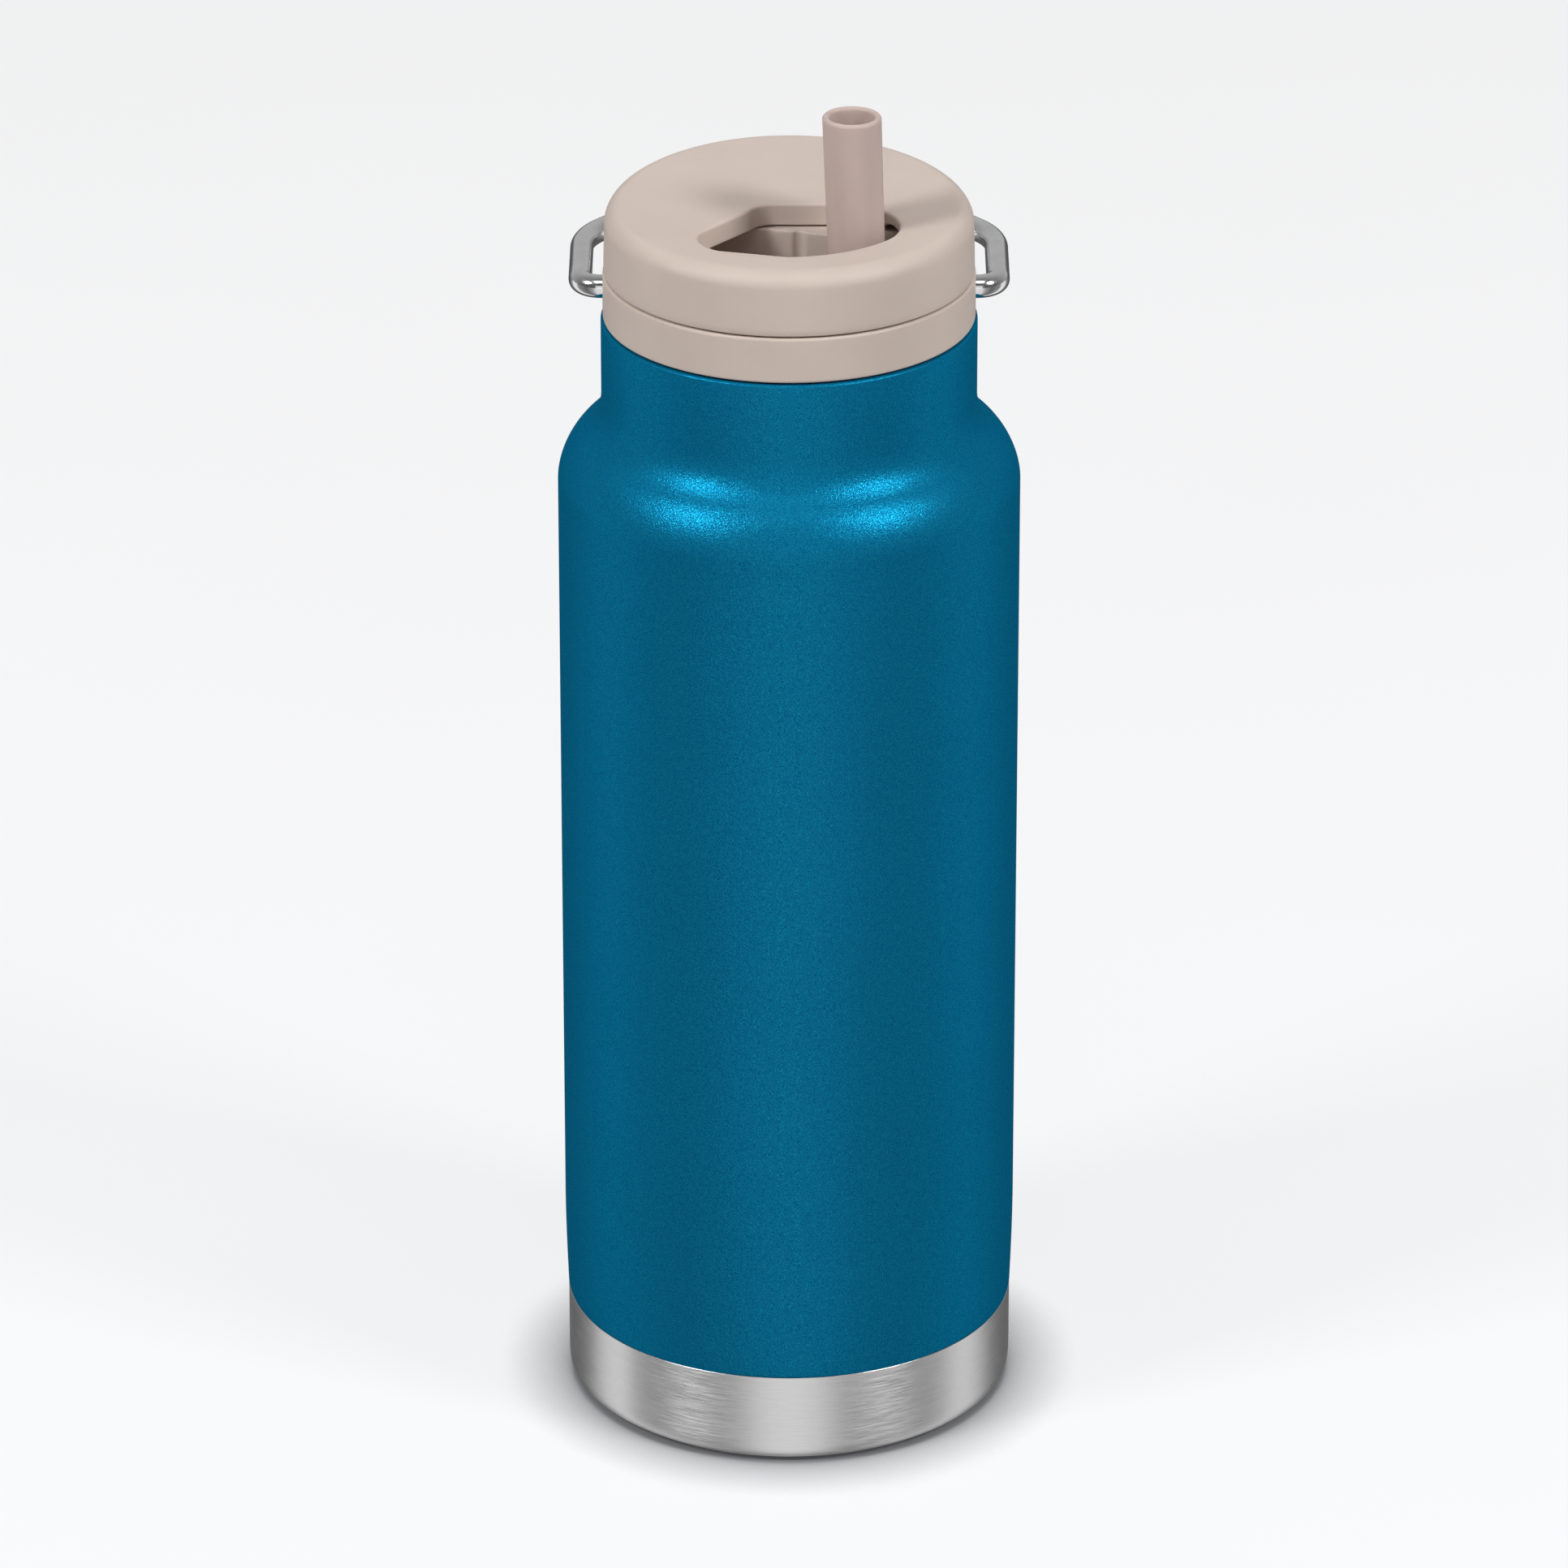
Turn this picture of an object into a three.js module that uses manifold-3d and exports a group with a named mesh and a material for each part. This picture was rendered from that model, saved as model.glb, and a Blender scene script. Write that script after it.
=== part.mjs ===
// Insulated steel water bottle with a twist-open straw cap.
// Millimetres, +Z up. The origin is the middle of the flat underside, on the bottle's own axis.
// The folded-back handle points along +Y, so -Y is the front that a drinker faces.
import * as THREE from "three";
import { mergeVertices } from "three/addons/utils/BufferGeometryUtils.js";
import Module from "manifold-3d";

const wasm = await Module();
wasm.setup();

// ---------- driving dimensions ----------

const ROUND = 36; // facets round the large shells
const SMALL_ROUND = 18; // facets round small pieces

// Bottle
const BODY_R = 44.45; // outside radius of the painted wall
const STEEL_R = 43.9; // outside radius of the bare bottom cup
const NECK_R = 36.0;
const WALL = 0.4; // sheet thickness
const PAINT_Z = 19.0; // lower edge of the paint, where the bottom cup is welded on
const BODY_TAPER_Z = 40; // the wall draws in to the cup below this height
const SHOULDER_Z = 192.2; // the straight wall ends and the shoulder starts
const NECK_FOOT_Z = 203.5; // the shoulder meets the neck
const SHOULDER_POWER = 1.17; // superellipse power of the shoulder's curve
const RIM_Z = 225.2; // top of the steel rim round the mouth
const VACUUM = 3.15; // gap between the two walls
const LINER_R = BODY_R - WALL - VACUUM; // outside of the inner vessel
const MOUTH_R = 28.5; // inside of the neck
const LINER_FLOOR_Z = 6;
const LINER_WELD_Z = 14; // the vessel's bottom is welded on here
const LINER_NECK_Z = 190; // and its neck piece here
const FOOT_R = 37.5; // inner edge of the flat foot ring
const CORNER_R = 2.3; // rounding at the bottom edge

// Threads between neck and plug. Their crests pass each other with a small clearance.
const THREAD_PITCH = 5;
const THREAD_TURNS = 1.25;
const NECK_THREAD_CREST_R = 27.85;
const PLUG_THREAD_CREST_R = 27.45;

// Cap
const RING_R = 35.6; // visible lower ring
const RING_BOTTOM_Z = 225.6;
const RING_TOP_Z = 234.5;
const TURRET_R = 32.6; // wall that the dial turns on
const DECK_Z = 242.4; // top of the turret, just under the dial
const PLUG_R = 26.6;
const PLUG_BOTTOM_Z = 207;
const PLUG_WALL = 1.8;
const CAVITY_R = 29; // hollow inside the cap body, which the straw tray fills
const FLANGE_R = 27.4; // inner edge of the cap body's flange
const FLANGE_Z = 228.6;
const SPIGOT_R = 24.4; // the tray reaches down into the plug inside this radius
const SPIGOT_Z = 223;
const STEP_R = 28.2; // the cap's underside steps down inside the neck
const STEP_Z = 224.6;
const GROOVE_Z = 226.6; // ceiling of the gasket groove

// Dial
const DIAL_R = 35.4;
const DIAL_BOTTOM_Z = 234.8;
const DIAL_TOP_Z = 247.3; // level front half of the top
const DIAL_BACK_RISE = 2.0; // the back of the top climbs this much to the rim
const DIAL_FILLET = 3.3;
const DIAL_UNDER_Z = 243.2; // underside of the top plate
const DIAL_BORE_R = 33.5;
const DIAL_LIP_R = 32.9;
// Drop-shaped opening: a long front arc, a wide right end, a narrow left end and a straight back edge
const OPENING_BACK_Y = 1.0;
const OPENING_FRONT = { x: -0.8, r: 25.5 };
const OPENING_RIGHT_R = 10.9;
const OPENING_LEFT = { x: -9.9, r: 7.2 };
const OPENING_CORNER = { x: -2.6, r: 5.5 };

// Straw
const STRAW_AXIS = { x: 13.1, y: -11.0 };
const FOLD_Z = 232; // height of the fold line in the soft mouthpiece
const FOLD_HEADING = THREE.MathUtils.degToRad(166); // the tube folds this way, seen from above
const TUBE_R = 5.6;
const TUBE_BORE_R = 4.35;
const TUBE_LENGTH = 37.9;
const TUBE_LEAN = THREE.MathUtils.degToRad(2);
const STRAW_R = 4.3;
const STRAW_BORE_R = 3.7;
const STRAW_TIP_Z = 12;
const STRAW_TOP_Z = 217.5;
const TROUGH_R = 6.3; // round-bottomed trough that takes the folded tube
const TROUGH_LENGTH = 39.2;
const TROUGH_WALL = 1.6;
const WELL_R = 8.0;
const WELL_Z = 225.2;
const STEM_R = 6.0;
const VENT = { x: -11, y: 12, r: 1.2 };

// Handle
const ROD_R = 2.25;
const PIVOT_Z = 231.1;
const HANDLE_HALF_WIDTH = 39.9;
const HANDLE_STRAIGHT = 20; // each arm runs straight back this far
const HANDLE_CORNER_R = 15; // then turns in through a corner
const HANDLE_CORNER_TURN = THREE.MathUtils.degToRad(38); // before the wide arc of the grip
const HANDLE_BEND_R = 4; // bend between arm and pivot end
const PIVOT_END_X = 30.3;
const PIVOT_BORE_R = 2.38;

// ---------- materials ----------

const material = (color, roughness, metalness) =>
  new THREE.MeshStandardMaterial({ color, roughness, metalness });
const paint = material(0x00638f, 0.45, 0.3);
const brushedSteel = material(0xb9b9bb, 0.35, 1);
const polishedSteel = material(0xc6c6c8, 0.12, 1);
const capPlastic = material(0xc8bbb0, 0.6, 0);
const silicone = material(0xc2a59e, 0.7, 0);
const sealRubber = material(0xd9d6d0, 0.8, 0);
const strawPlastic = material(0xe9e7e2, 0.35, 0);
const foam = material(0xf0ede4, 0.95, 0);
const solder = material(0x9c9ca0, 0.4, 1);

// ---------- helpers ----------

// Closed geometry to a solid, turned the right way out if its profile ran the other way.
function solidOf(geometry) {
  const bare = new THREE.BufferGeometry();
  bare.setAttribute("position", geometry.getAttribute("position"));
  if (geometry.index) bare.setIndex(geometry.index);
  const merged = mergeVertices(bare, 1e-4);
  const triangles = [];
  for (let i = 0; i < merged.index.count; i += 3) {
    const [a, b, c] = [0, 1, 2].map((k) => merged.index.getX(i + k));
    if (a !== b && b !== c && c !== a) triangles.push(a, b, c);
  }
  const make = (triVerts) =>
    new wasm.Manifold(
      new wasm.Mesh({
        numProp: 3,
        vertProperties: new Float32Array(merged.attributes.position.array),
        triVerts: new Uint32Array(triVerts),
      }),
    );
  const solid = make(triangles);
  return solid.volume() > 0 ? solid : make(triangles.reverse());
}

function geometryOf(solid) {
  const mesh = solid.getMesh();
  const positions = new Float32Array(mesh.numVert * 3);
  for (let i = 0; i < mesh.numVert; i++) {
    const start = i * mesh.numProp;
    positions.set(mesh.vertProperties.subarray(start, start + 3), i * 3);
  }
  const geometry = new THREE.BufferGeometry();
  geometry.setAttribute("position", new THREE.BufferAttribute(positions, 3));
  geometry.setIndex(new THREE.BufferAttribute(mesh.triVerts, 1));
  geometry.computeVertexNormals();
  return geometry;
}

// Turns a profile of [radius, height] points about the Z axis.
function turned(profile, facets = ROUND) {
  const first = profile[0];
  const last = profile[profile.length - 1];
  const onAxis = first[0] === 0 && last[0] === 0;
  const closed = onAxis ? profile : [...profile, first];
  const points = closed.map(([r, z]) => new THREE.Vector2(r, z));
  const geometry = new THREE.LatheGeometry(points, facets);
  return geometry.rotateX(Math.PI / 2);
}

// A run of [radius, height] points on a circle of a profile, angles in degrees from +radius to +Z.
function bend(r, z, radius, from, to, steps = 4) {
  return Array.from({ length: steps + 1 }, (_, i) => {
    const a = THREE.MathUtils.degToRad(from + ((to - from) * i) / steps);
    return [r + radius * Math.cos(a), z + radius * Math.sin(a)];
  });
}

// The shoulder's curve from the straight wall up to the neck, as [radius, height] points.
function shoulder(wallR, neckR, lowZ, highZ, steps = 6) {
  return Array.from({ length: steps + 1 }, (_, i) => {
    const a = (Math.PI / 2) * (1 - i / steps);
    const out = Math.sin(a) ** SHOULDER_POWER;
    const up = Math.abs(Math.cos(a)) ** SHOULDER_POWER;
    return [neckR + (wallR - neckR) * out, lowZ + (highZ - lowZ) * up];
  });
}

// A disc or pin standing on the Z axis through (x, y).
function post(x, y, radius, lowZ, highZ, facets = SMALL_ROUND) {
  const geometry = new THREE.CylinderGeometry(radius, radius, highZ - lowZ, facets);
  return geometry.rotateX(Math.PI / 2).translate(x, y, (lowZ + highZ) / 2);
}

// One thread ridge: a trapezoid wound up a helix, running out to nothing at both ends.
function threadRidge({ rootR, crestR, startZ, turns }) {
  const perTurn = 24;
  const steps = Math.round(perTurn * turns);
  const runOut = 4; // steps over which each end fades
  const halfRoot = 1.35;
  const halfCrest = 0.6;
  const vertices = [];
  const triangles = [];
  for (let i = 0; i <= steps; i++) {
    const angle = (i / perTurn) * 2 * Math.PI;
    const z = startZ + (i / perTurn) * THREAD_PITCH;
    const height = Math.min(1, (i + 0.4) / runOut, (steps - i + 0.4) / runOut);
    const crest = rootR + (crestR - rootR) * height;
    const section = [
      [rootR, -halfRoot],
      [crest, -halfCrest],
      [crest, halfCrest],
      [rootR, halfRoot],
    ];
    for (const [r, dz] of section) vertices.push(r * Math.cos(angle), r * Math.sin(angle), z + dz);
  }
  const corners = 4;
  for (let i = 0; i < steps; i++) {
    for (let k = 0; k < corners; k++) {
      const a = i * corners + k;
      const b = i * corners + ((k + 1) % corners);
      triangles.push(a, b, b + corners, a, b + corners, a + corners);
    }
  }
  const end = steps * corners;
  triangles.push(0, 2, 1, 0, 3, 2, end, end + 1, end + 2, end, end + 2, end + 3);
  const geometry = new THREE.BufferGeometry();
  geometry.setAttribute("position", new THREE.Float32BufferAttribute(vertices, 3));
  geometry.setIndex(triangles);
  return geometry;
}

const object = new THREE.Group();

function piece(name, shape, finish) {
  const geometry = geometryOf(shape.isBufferGeometry ? solidOf(shape) : shape);
  const mesh = new THREE.Mesh(geometry, finish);
  mesh.name = name;
  object.add(mesh);
  return mesh;
}

// ---------- bottle ----------

// Painted outer wall: one drawn sheet from the bottom cup up to the mouth.
function outerShell() {
  const edge = 0.6; // rounding at the top of the neck
  const innerNeckR = NECK_R - WALL;
  const innerFootZ = NECK_FOOT_Z - WALL;
  return turned([
    [STEEL_R - WALL, PAINT_Z],
    [STEEL_R, PAINT_Z],
    [BODY_R, BODY_TAPER_Z],
    ...shoulder(BODY_R, NECK_R, SHOULDER_Z, NECK_FOOT_Z),
    ...bend(NECK_R - edge, RIM_Z - edge, edge, 0, 50, 2),
    [innerNeckR, RIM_Z - 0.1],
    ...shoulder(BODY_R - WALL, innerNeckR, SHOULDER_Z, innerFootZ).reverse(),
    [BODY_R - WALL, BODY_TAPER_Z],
  ]);
}

// Bare bottom cup with a flat foot ring and a port in the middle of its floor.
function baseCup() {
  const discZ = 0.85;
  const floorZ = discZ + WALL;
  const portR = 1.5;
  const corner = STEEL_R - CORNER_R;
  const innerFootR = FOOT_R + WALL;
  return turned([
    [STEEL_R - WALL, PAINT_Z - 0.05],
    [STEEL_R, PAINT_Z - 0.05],
    ...bend(corner, CORNER_R, CORNER_R, 0, -90, 4),
    [FOOT_R, 0],
    [FOOT_R, discZ],
    [portR, discZ],
    [portR, floorZ],
    [innerFootR, floorZ],
    [innerFootR, WALL],
    ...bend(corner, CORNER_R, CORNER_R - WALL, -90, 0, 3),
  ]);
}

function baseDisc() {
  return turned([
    [0, 0],
    [FOOT_R - 0.5, 0],
    [FOOT_R - 0.3, 0.2],
    [FOOT_R - 0.3, 0.8],
    [0, 0.8],
  ]);
}

// Straight wall of the inner vessel.
function linerWall() {
  return turned([
    [LINER_R - WALL, LINER_WELD_Z],
    [LINER_R, LINER_WELD_Z],
    [LINER_R, LINER_NECK_Z - 0.05],
    [LINER_R - WALL, LINER_NECK_Z - 0.05],
  ]);
}

// Neck piece of the inner vessel: shoulder, threaded neck and the rim welded to the outer wall.
function linerNeck() {
  const rimR = NECK_R - WALL - 0.05;
  const insideR = LINER_R - WALL;
  const outsideNeckR = MOUTH_R + WALL;
  const footZ = NECK_FOOT_Z + 2.5;
  const wall = turned([
    [insideR, LINER_NECK_Z],
    ...shoulder(insideR, MOUTH_R, LINER_NECK_Z + 0.2, footZ, 5),
    [MOUTH_R, RIM_Z - 0.5],
    [MOUTH_R + 0.5, RIM_Z],
    [rimR - 0.3, RIM_Z],
    [rimR, RIM_Z - 0.3],
    [rimR, RIM_Z - 0.8],
    [outsideNeckR, RIM_Z - 0.8],
    ...shoulder(LINER_R, outsideNeckR, LINER_NECK_Z + 0.2, footZ + WALL, 5).reverse(),
    [LINER_R, LINER_NECK_Z],
  ]);
  const thread = threadRidge({
    rootR: MOUTH_R + 0.25,
    crestR: NECK_THREAD_CREST_R,
    startZ: 213.2,
    turns: THREAD_TURNS,
  });
  return solidOf(wall).add(solidOf(thread));
}

// Domed bottom of the inner vessel.
function linerBase() {
  const weldZ = LINER_WELD_Z - 0.05;
  const cornerR = weldZ - LINER_FLOOR_Z;
  const dome = 1.5;
  return turned([
    [0, LINER_FLOOR_Z + dome],
    ...bend(LINER_R - cornerR, weldZ, cornerR, -90, 0, 4),
    ...bend(LINER_R - cornerR, weldZ, cornerR - WALL, 0, -90, 4),
    [0, LINER_FLOOR_Z + dome + WALL],
  ]);
}

// Solder bead that closes the port in the bottom cup.
function vacuumSeal() {
  return turned(
    [
      [0, 0.9],
      [1.4, 0.9],
      [1.4, 1.4],
      [2.4, 1.4],
      [2.1, 2.0],
      [1.2, 2.5],
      [0, 2.6],
    ],
    SMALL_ROUND,
  );
}

function getter() {
  const pellet = turned(
    [
      [0, 1.4],
      [4.6, 1.4],
      [5, 1.8],
      [5, 2.6],
      [4.6, 3.0],
      [0, 3.0],
    ],
    SMALL_ROUND,
  );
  return pellet.translate(18, 6, 0);
}

// ---------- cap ----------

// U-shaped channel along the fold heading, from the straw's well to the far end of the folded tube.
function troughShape(radius, length, topZ) {
  const section = new THREE.Shape();
  section.absarc(0, 0, radius, Math.PI, 2 * Math.PI, false);
  section.lineTo(radius, topZ - FOLD_Z);
  section.lineTo(-radius, topZ - FOLD_Z);
  section.closePath();
  const geometry = new THREE.ExtrudeGeometry(section, {
    depth: length,
    bevelEnabled: false,
    curveSegments: 8,
  });
  // section x goes sideways, section y goes up, depth goes along the heading
  const along = new THREE.Vector3(Math.cos(FOLD_HEADING), Math.sin(FOLD_HEADING), 0);
  const up = new THREE.Vector3(0, 0, 1);
  const side = new THREE.Vector3().crossVectors(up, along);
  geometry.applyMatrix4(new THREE.Matrix4().makeBasis(side, up, along));
  return geometry.translate(STRAW_AXIS.x, STRAW_AXIS.y, FOLD_Z);
}

function pivotBore(side) {
  const depth = RING_R + 1 - PIVOT_END_X + 0.4;
  const bore = new THREE.CylinderGeometry(PIVOT_BORE_R, PIVOT_BORE_R, depth, SMALL_ROUND);
  bore.rotateZ(Math.PI / 2);
  return bore.translate(side * (PIVOT_END_X - 0.4 + depth / 2), 0, PIVOT_Z);
}

// Visible lower ring with the wall that the dial turns on, and a flange over the gasket.
function capBody() {
  const ridge = 0.5; // snap ridge that keeps the dial on
  const shell = turned([
    [FLANGE_R, STEP_Z],
    [STEP_R, STEP_Z],
    [STEP_R, GROOVE_Z],
    [34.0, GROOVE_Z],
    [34.0, RING_BOTTOM_Z],
    [RING_R - 0.5, RING_BOTTOM_Z],
    [RING_R, RING_BOTTOM_Z + 0.5],
    [RING_R, RING_TOP_Z - 0.4],
    [RING_R - 0.4, RING_TOP_Z],
    [TURRET_R, RING_TOP_Z],
    [TURRET_R, 236.9],
    [TURRET_R + ridge, 237.1],
    [TURRET_R + ridge, 237.5],
    [TURRET_R, 237.9],
    [TURRET_R, DECK_Z - 0.4],
    [TURRET_R - 0.4, DECK_Z],
    [31.4, DECK_Z],
    [31.4, DECK_Z - 0.8],
    [29.6, DECK_Z - 0.8],
    [29.6, DECK_Z],
    [CAVITY_R, DECK_Z],
    [CAVITY_R, FLANGE_Z],
    [FLANGE_R, FLANGE_Z],
  ]);
  return solidOf(shell).subtract(solidOf(pivotBore(1))).subtract(solidOf(pivotBore(-1)));
}

// Insert under the dial: a deck with the well and trough that take the drinking tube.
function strawTray() {
  const { x, y } = STRAW_AXIS;
  const edge = 0.1; // the tray stays this far inside the cap body
  const deckLowZ = DECK_Z - 1.8;
  const envelope = solidOf(
    turned([
      [0, SPIGOT_Z],
      [SPIGOT_R, SPIGOT_Z],
      [SPIGOT_R, STEP_Z],
      [FLANGE_R - edge, STEP_Z],
      [FLANGE_R - edge, FLANGE_Z + edge],
      [CAVITY_R - edge, FLANGE_Z + edge],
      [CAVITY_R - edge, DECK_Z],
      [0, DECK_Z],
    ]),
  );
  const collar = solidOf(
    turned([
      [SPIGOT_R - 2.4, SPIGOT_Z - 1],
      [CAVITY_R, SPIGOT_Z - 1],
      [CAVITY_R, STEP_Z + 1.6],
      [SPIGOT_R - 2.4, STEP_Z + 1.6],
    ]),
  );
  const deck = solidOf(post(0, 0, CAVITY_R + 1, deckLowZ, DECK_Z + 1, ROUND));
  const tub = solidOf(troughShape(TROUGH_R + TROUGH_WALL, TROUGH_LENGTH + 3, DECK_Z));
  const wellOutside = solidOf(post(x, y, WELL_R + TROUGH_WALL, SPIGOT_Z - 1, DECK_Z));
  const channel = solidOf(troughShape(TROUGH_R, TROUGH_LENGTH, DECK_Z + 1));
  const channelEnd = solidOf(post(0, 0, FLANGE_R - 0.9, SPIGOT_Z, DECK_Z + 2, ROUND));
  const well = solidOf(post(x, y, WELL_R, WELL_Z, DECK_Z + 1));
  const stemHole = solidOf(post(x, y, STEM_R + 0.2, SPIGOT_Z - 1, WELL_Z + 1));
  const ventHole = solidOf(post(VENT.x, VENT.y, VENT.r, deckLowZ - 1, DECK_Z + 1, 12));
  return deck
    .add(tub)
    .add(wellOutside)
    .add(collar)
    .intersect(envelope)
    .subtract(channel.intersect(channelEnd))
    .subtract(well)
    .subtract(stemHole)
    .subtract(ventHole);
}

// Hollow threaded plug, closed at the bottom, welded under the cap body.
function plugCup() {
  const { x, y } = STRAW_AXIS;
  const topZ = STEP_Z - 0.05;
  const floorZ = PLUG_BOTTOM_Z + PLUG_WALL;
  const insideR = PLUG_R - PLUG_WALL;
  const cup = turned([
    [0, PLUG_BOTTOM_Z],
    [PLUG_R - 1, PLUG_BOTTOM_Z],
    [PLUG_R, PLUG_BOTTOM_Z + 1],
    [PLUG_R, topZ],
    [insideR, topZ],
    [insideR, floorZ],
    [0, floorZ],
  ]);
  const thread = threadRidge({
    rootR: PLUG_R - 0.3,
    crestR: PLUG_THREAD_CREST_R,
    startZ: 213.2 + THREAD_PITCH / 2,
    turns: THREAD_TURNS,
  });
  return solidOf(cup)
    .add(solidOf(thread))
    .subtract(solidOf(post(x, y, STEM_R + 0.2, PLUG_BOTTOM_Z - 1, floorZ + 1)))
    .subtract(solidOf(post(VENT.x, VENT.y, 1.7, PLUG_BOTTOM_Z - 1, floorZ + 1, 16)));
}

function plugInsulation() {
  const { x, y } = STRAW_AXIS;
  const lowZ = PLUG_BOTTOM_Z + PLUG_WALL + 0.2;
  const highZ = SPIGOT_Z - 0.3;
  const foamR = PLUG_R - PLUG_WALL - 0.4;
  return solidOf(post(0, 0, foamR, lowZ, highZ, ROUND))
    .subtract(solidOf(post(x, y, STEM_R + 0.5, lowZ - 1, highZ + 1)))
    .subtract(solidOf(post(VENT.x, VENT.y, 2.8, lowZ - 1, highZ + 1)));
}

// Silicone ring pressed between the cap and the steel rim.
function capGasket() {
  const lowZ = RIM_Z + 0.05;
  const highZ = GROOVE_Z - 0.05;
  return turned([
    [28.6, lowZ + 0.3],
    [28.9, lowZ],
    [33.5, lowZ],
    [33.8, lowZ + 0.3],
    [33.8, highZ],
    [28.6, highZ],
  ]);
}

// Umbrella valve: a thin disc under the plug, a stem through its floor and a bulb that holds it.
function ventValve() {
  const valve = turned(
    [
      [0, PLUG_BOTTOM_Z - 1.2],
      [2.5, PLUG_BOTTOM_Z - 1.1],
      [4.2, PLUG_BOTTOM_Z - 0.6],
      [4.2, PLUG_BOTTOM_Z - 0.1],
      [1.5, PLUG_BOTTOM_Z - 0.1],
      [1.5, PLUG_BOTTOM_Z + PLUG_WALL + 0.1],
      [2.3, PLUG_BOTTOM_Z + PLUG_WALL + 0.5],
      [0.9, PLUG_BOTTOM_Z + PLUG_WALL + 4],
      [0, PLUG_BOTTOM_Z + PLUG_WALL + 4],
    ],
    16,
  );
  return valve.translate(VENT.x, VENT.y, 0);
}

// ---------- dial ----------

// Outline of the opening, made only of arcs that run into each other.
function openingShape() {
  const front = new THREE.Vector2(OPENING_FRONT.x, 0);
  const place = (y, radius, side) => {
    const reach = OPENING_FRONT.r - radius;
    return new THREE.Vector2(front.x + side * Math.sqrt(reach ** 2 - y ** 2), y);
  };
  const right = place(OPENING_BACK_Y - OPENING_RIGHT_R, OPENING_RIGHT_R, 1);
  const leftReach = OPENING_FRONT.r - OPENING_LEFT.r;
  const leftY = -Math.sqrt(leftReach ** 2 - (OPENING_LEFT.x - front.x) ** 2);
  const left = new THREE.Vector2(OPENING_LEFT.x, leftY);
  const corner = new THREE.Vector2(OPENING_CORNER.x, OPENING_BACK_Y - OPENING_CORNER.r);
  const toCorner = corner.clone().sub(left);
  const slant =
    toCorner.angle() +
    Math.PI / 2 +
    Math.asin((OPENING_LEFT.r - OPENING_CORNER.r) / toCorner.length());
  const rightMeets = right.clone().sub(front).angle();
  const leftMeets = left.clone().sub(front).angle();
  const shape = new THREE.Shape();
  shape.absarc(right.x, right.y, OPENING_RIGHT_R, Math.PI / 2, rightMeets - 2 * Math.PI, true);
  shape.absarc(front.x, front.y, OPENING_FRONT.r, rightMeets, leftMeets, true);
  shape.absarc(left.x, left.y, OPENING_LEFT.r, leftMeets, slant, true);
  shape.absarc(corner.x, corner.y, OPENING_CORNER.r, slant, Math.PI / 2, true);
  shape.closePath();
  return shape;
}

// Height added to the dial's top at a given depth: none at the front, then a gentle climb to the back.
function dialRise(y) {
  const t = THREE.MathUtils.clamp((y + 6) / 38, 0, 1);
  return DIAL_BACK_RISE * t * (1.45 - 0.45 * t * t) * Math.min(1, t * 4);
}

function dial() {
  const topR = DIAL_R - 0.2 - DIAL_FILLET;
  const cover = turned([
    [0, DIAL_UNDER_Z],
    [DIAL_BORE_R, DIAL_UNDER_Z],
    [DIAL_BORE_R, 236.5],
    [DIAL_LIP_R, 236.3],
    [DIAL_LIP_R, DIAL_BOTTOM_Z + 0.3],
    [DIAL_LIP_R + 0.3, DIAL_BOTTOM_Z],
    [DIAL_R - 0.3, DIAL_BOTTOM_Z],
    [DIAL_R, DIAL_BOTTOM_Z + 0.3],
    ...bend(topR, DIAL_TOP_Z - DIAL_FILLET, DIAL_FILLET, 0, 90, 4),
    [21, DIAL_TOP_Z],
    [11, DIAL_TOP_Z],
    [0, DIAL_TOP_Z],
  ]);
  const position = cover.getAttribute("position");
  const fixedZ = DIAL_TOP_Z - DIAL_FILLET;
  for (let i = 0; i < position.count; i++) {
    const share = THREE.MathUtils.clamp((position.getZ(i) - fixedZ) / DIAL_FILLET, 0, 1);
    position.setZ(i, position.getZ(i) + share * dialRise(position.getY(i)));
  }
  const opening = new THREE.ExtrudeGeometry(openingShape(), {
    depth: 14,
    bevelEnabled: false,
    curveSegments: 8,
  }).translate(0, 0, DIAL_UNDER_Z - 4);
  return solidOf(cover).subtract(solidOf(opening));
}

function dialGlideRing() {
  const lowZ = DECK_Z - 0.75;
  const highZ = DIAL_UNDER_Z - 0.05;
  return turned([
    [29.7, lowZ],
    [31.3, lowZ],
    [31.3, highZ],
    [29.7, highZ],
  ]);
}

// ---------- straw ----------

// Lower half of the soft mouthpiece: a flange in the well, a stem through the plug and a socket.
function mouthpieceBase() {
  const socketTopZ = STRAW_TOP_Z + 0.4;
  const base = turned(
    [
      [STRAW_R + 0.15, 203.2],
      [STEM_R, 203.2],
      [STEM_R + 0.9, 204.6],
      [STEM_R + 0.9, PLUG_BOTTOM_Z - 0.1],
      [STEM_R, PLUG_BOTTOM_Z - 0.1],
      [STEM_R, WELL_Z + 0.05],
      [WELL_R - 0.2, WELL_Z + 0.05],
      [WELL_R - 0.2, WELL_Z + 0.6],
      [WELL_R - 0.5, WELL_Z + 0.9],
      [TUBE_BORE_R - 0.4, WELL_Z + 0.9],
      [TUBE_BORE_R - 0.7, socketTopZ],
      [STRAW_R + 0.15, socketTopZ],
    ],
    SMALL_ROUND,
  );
  return base.translate(STRAW_AXIS.x, STRAW_AXIS.y, 0);
}

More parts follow.
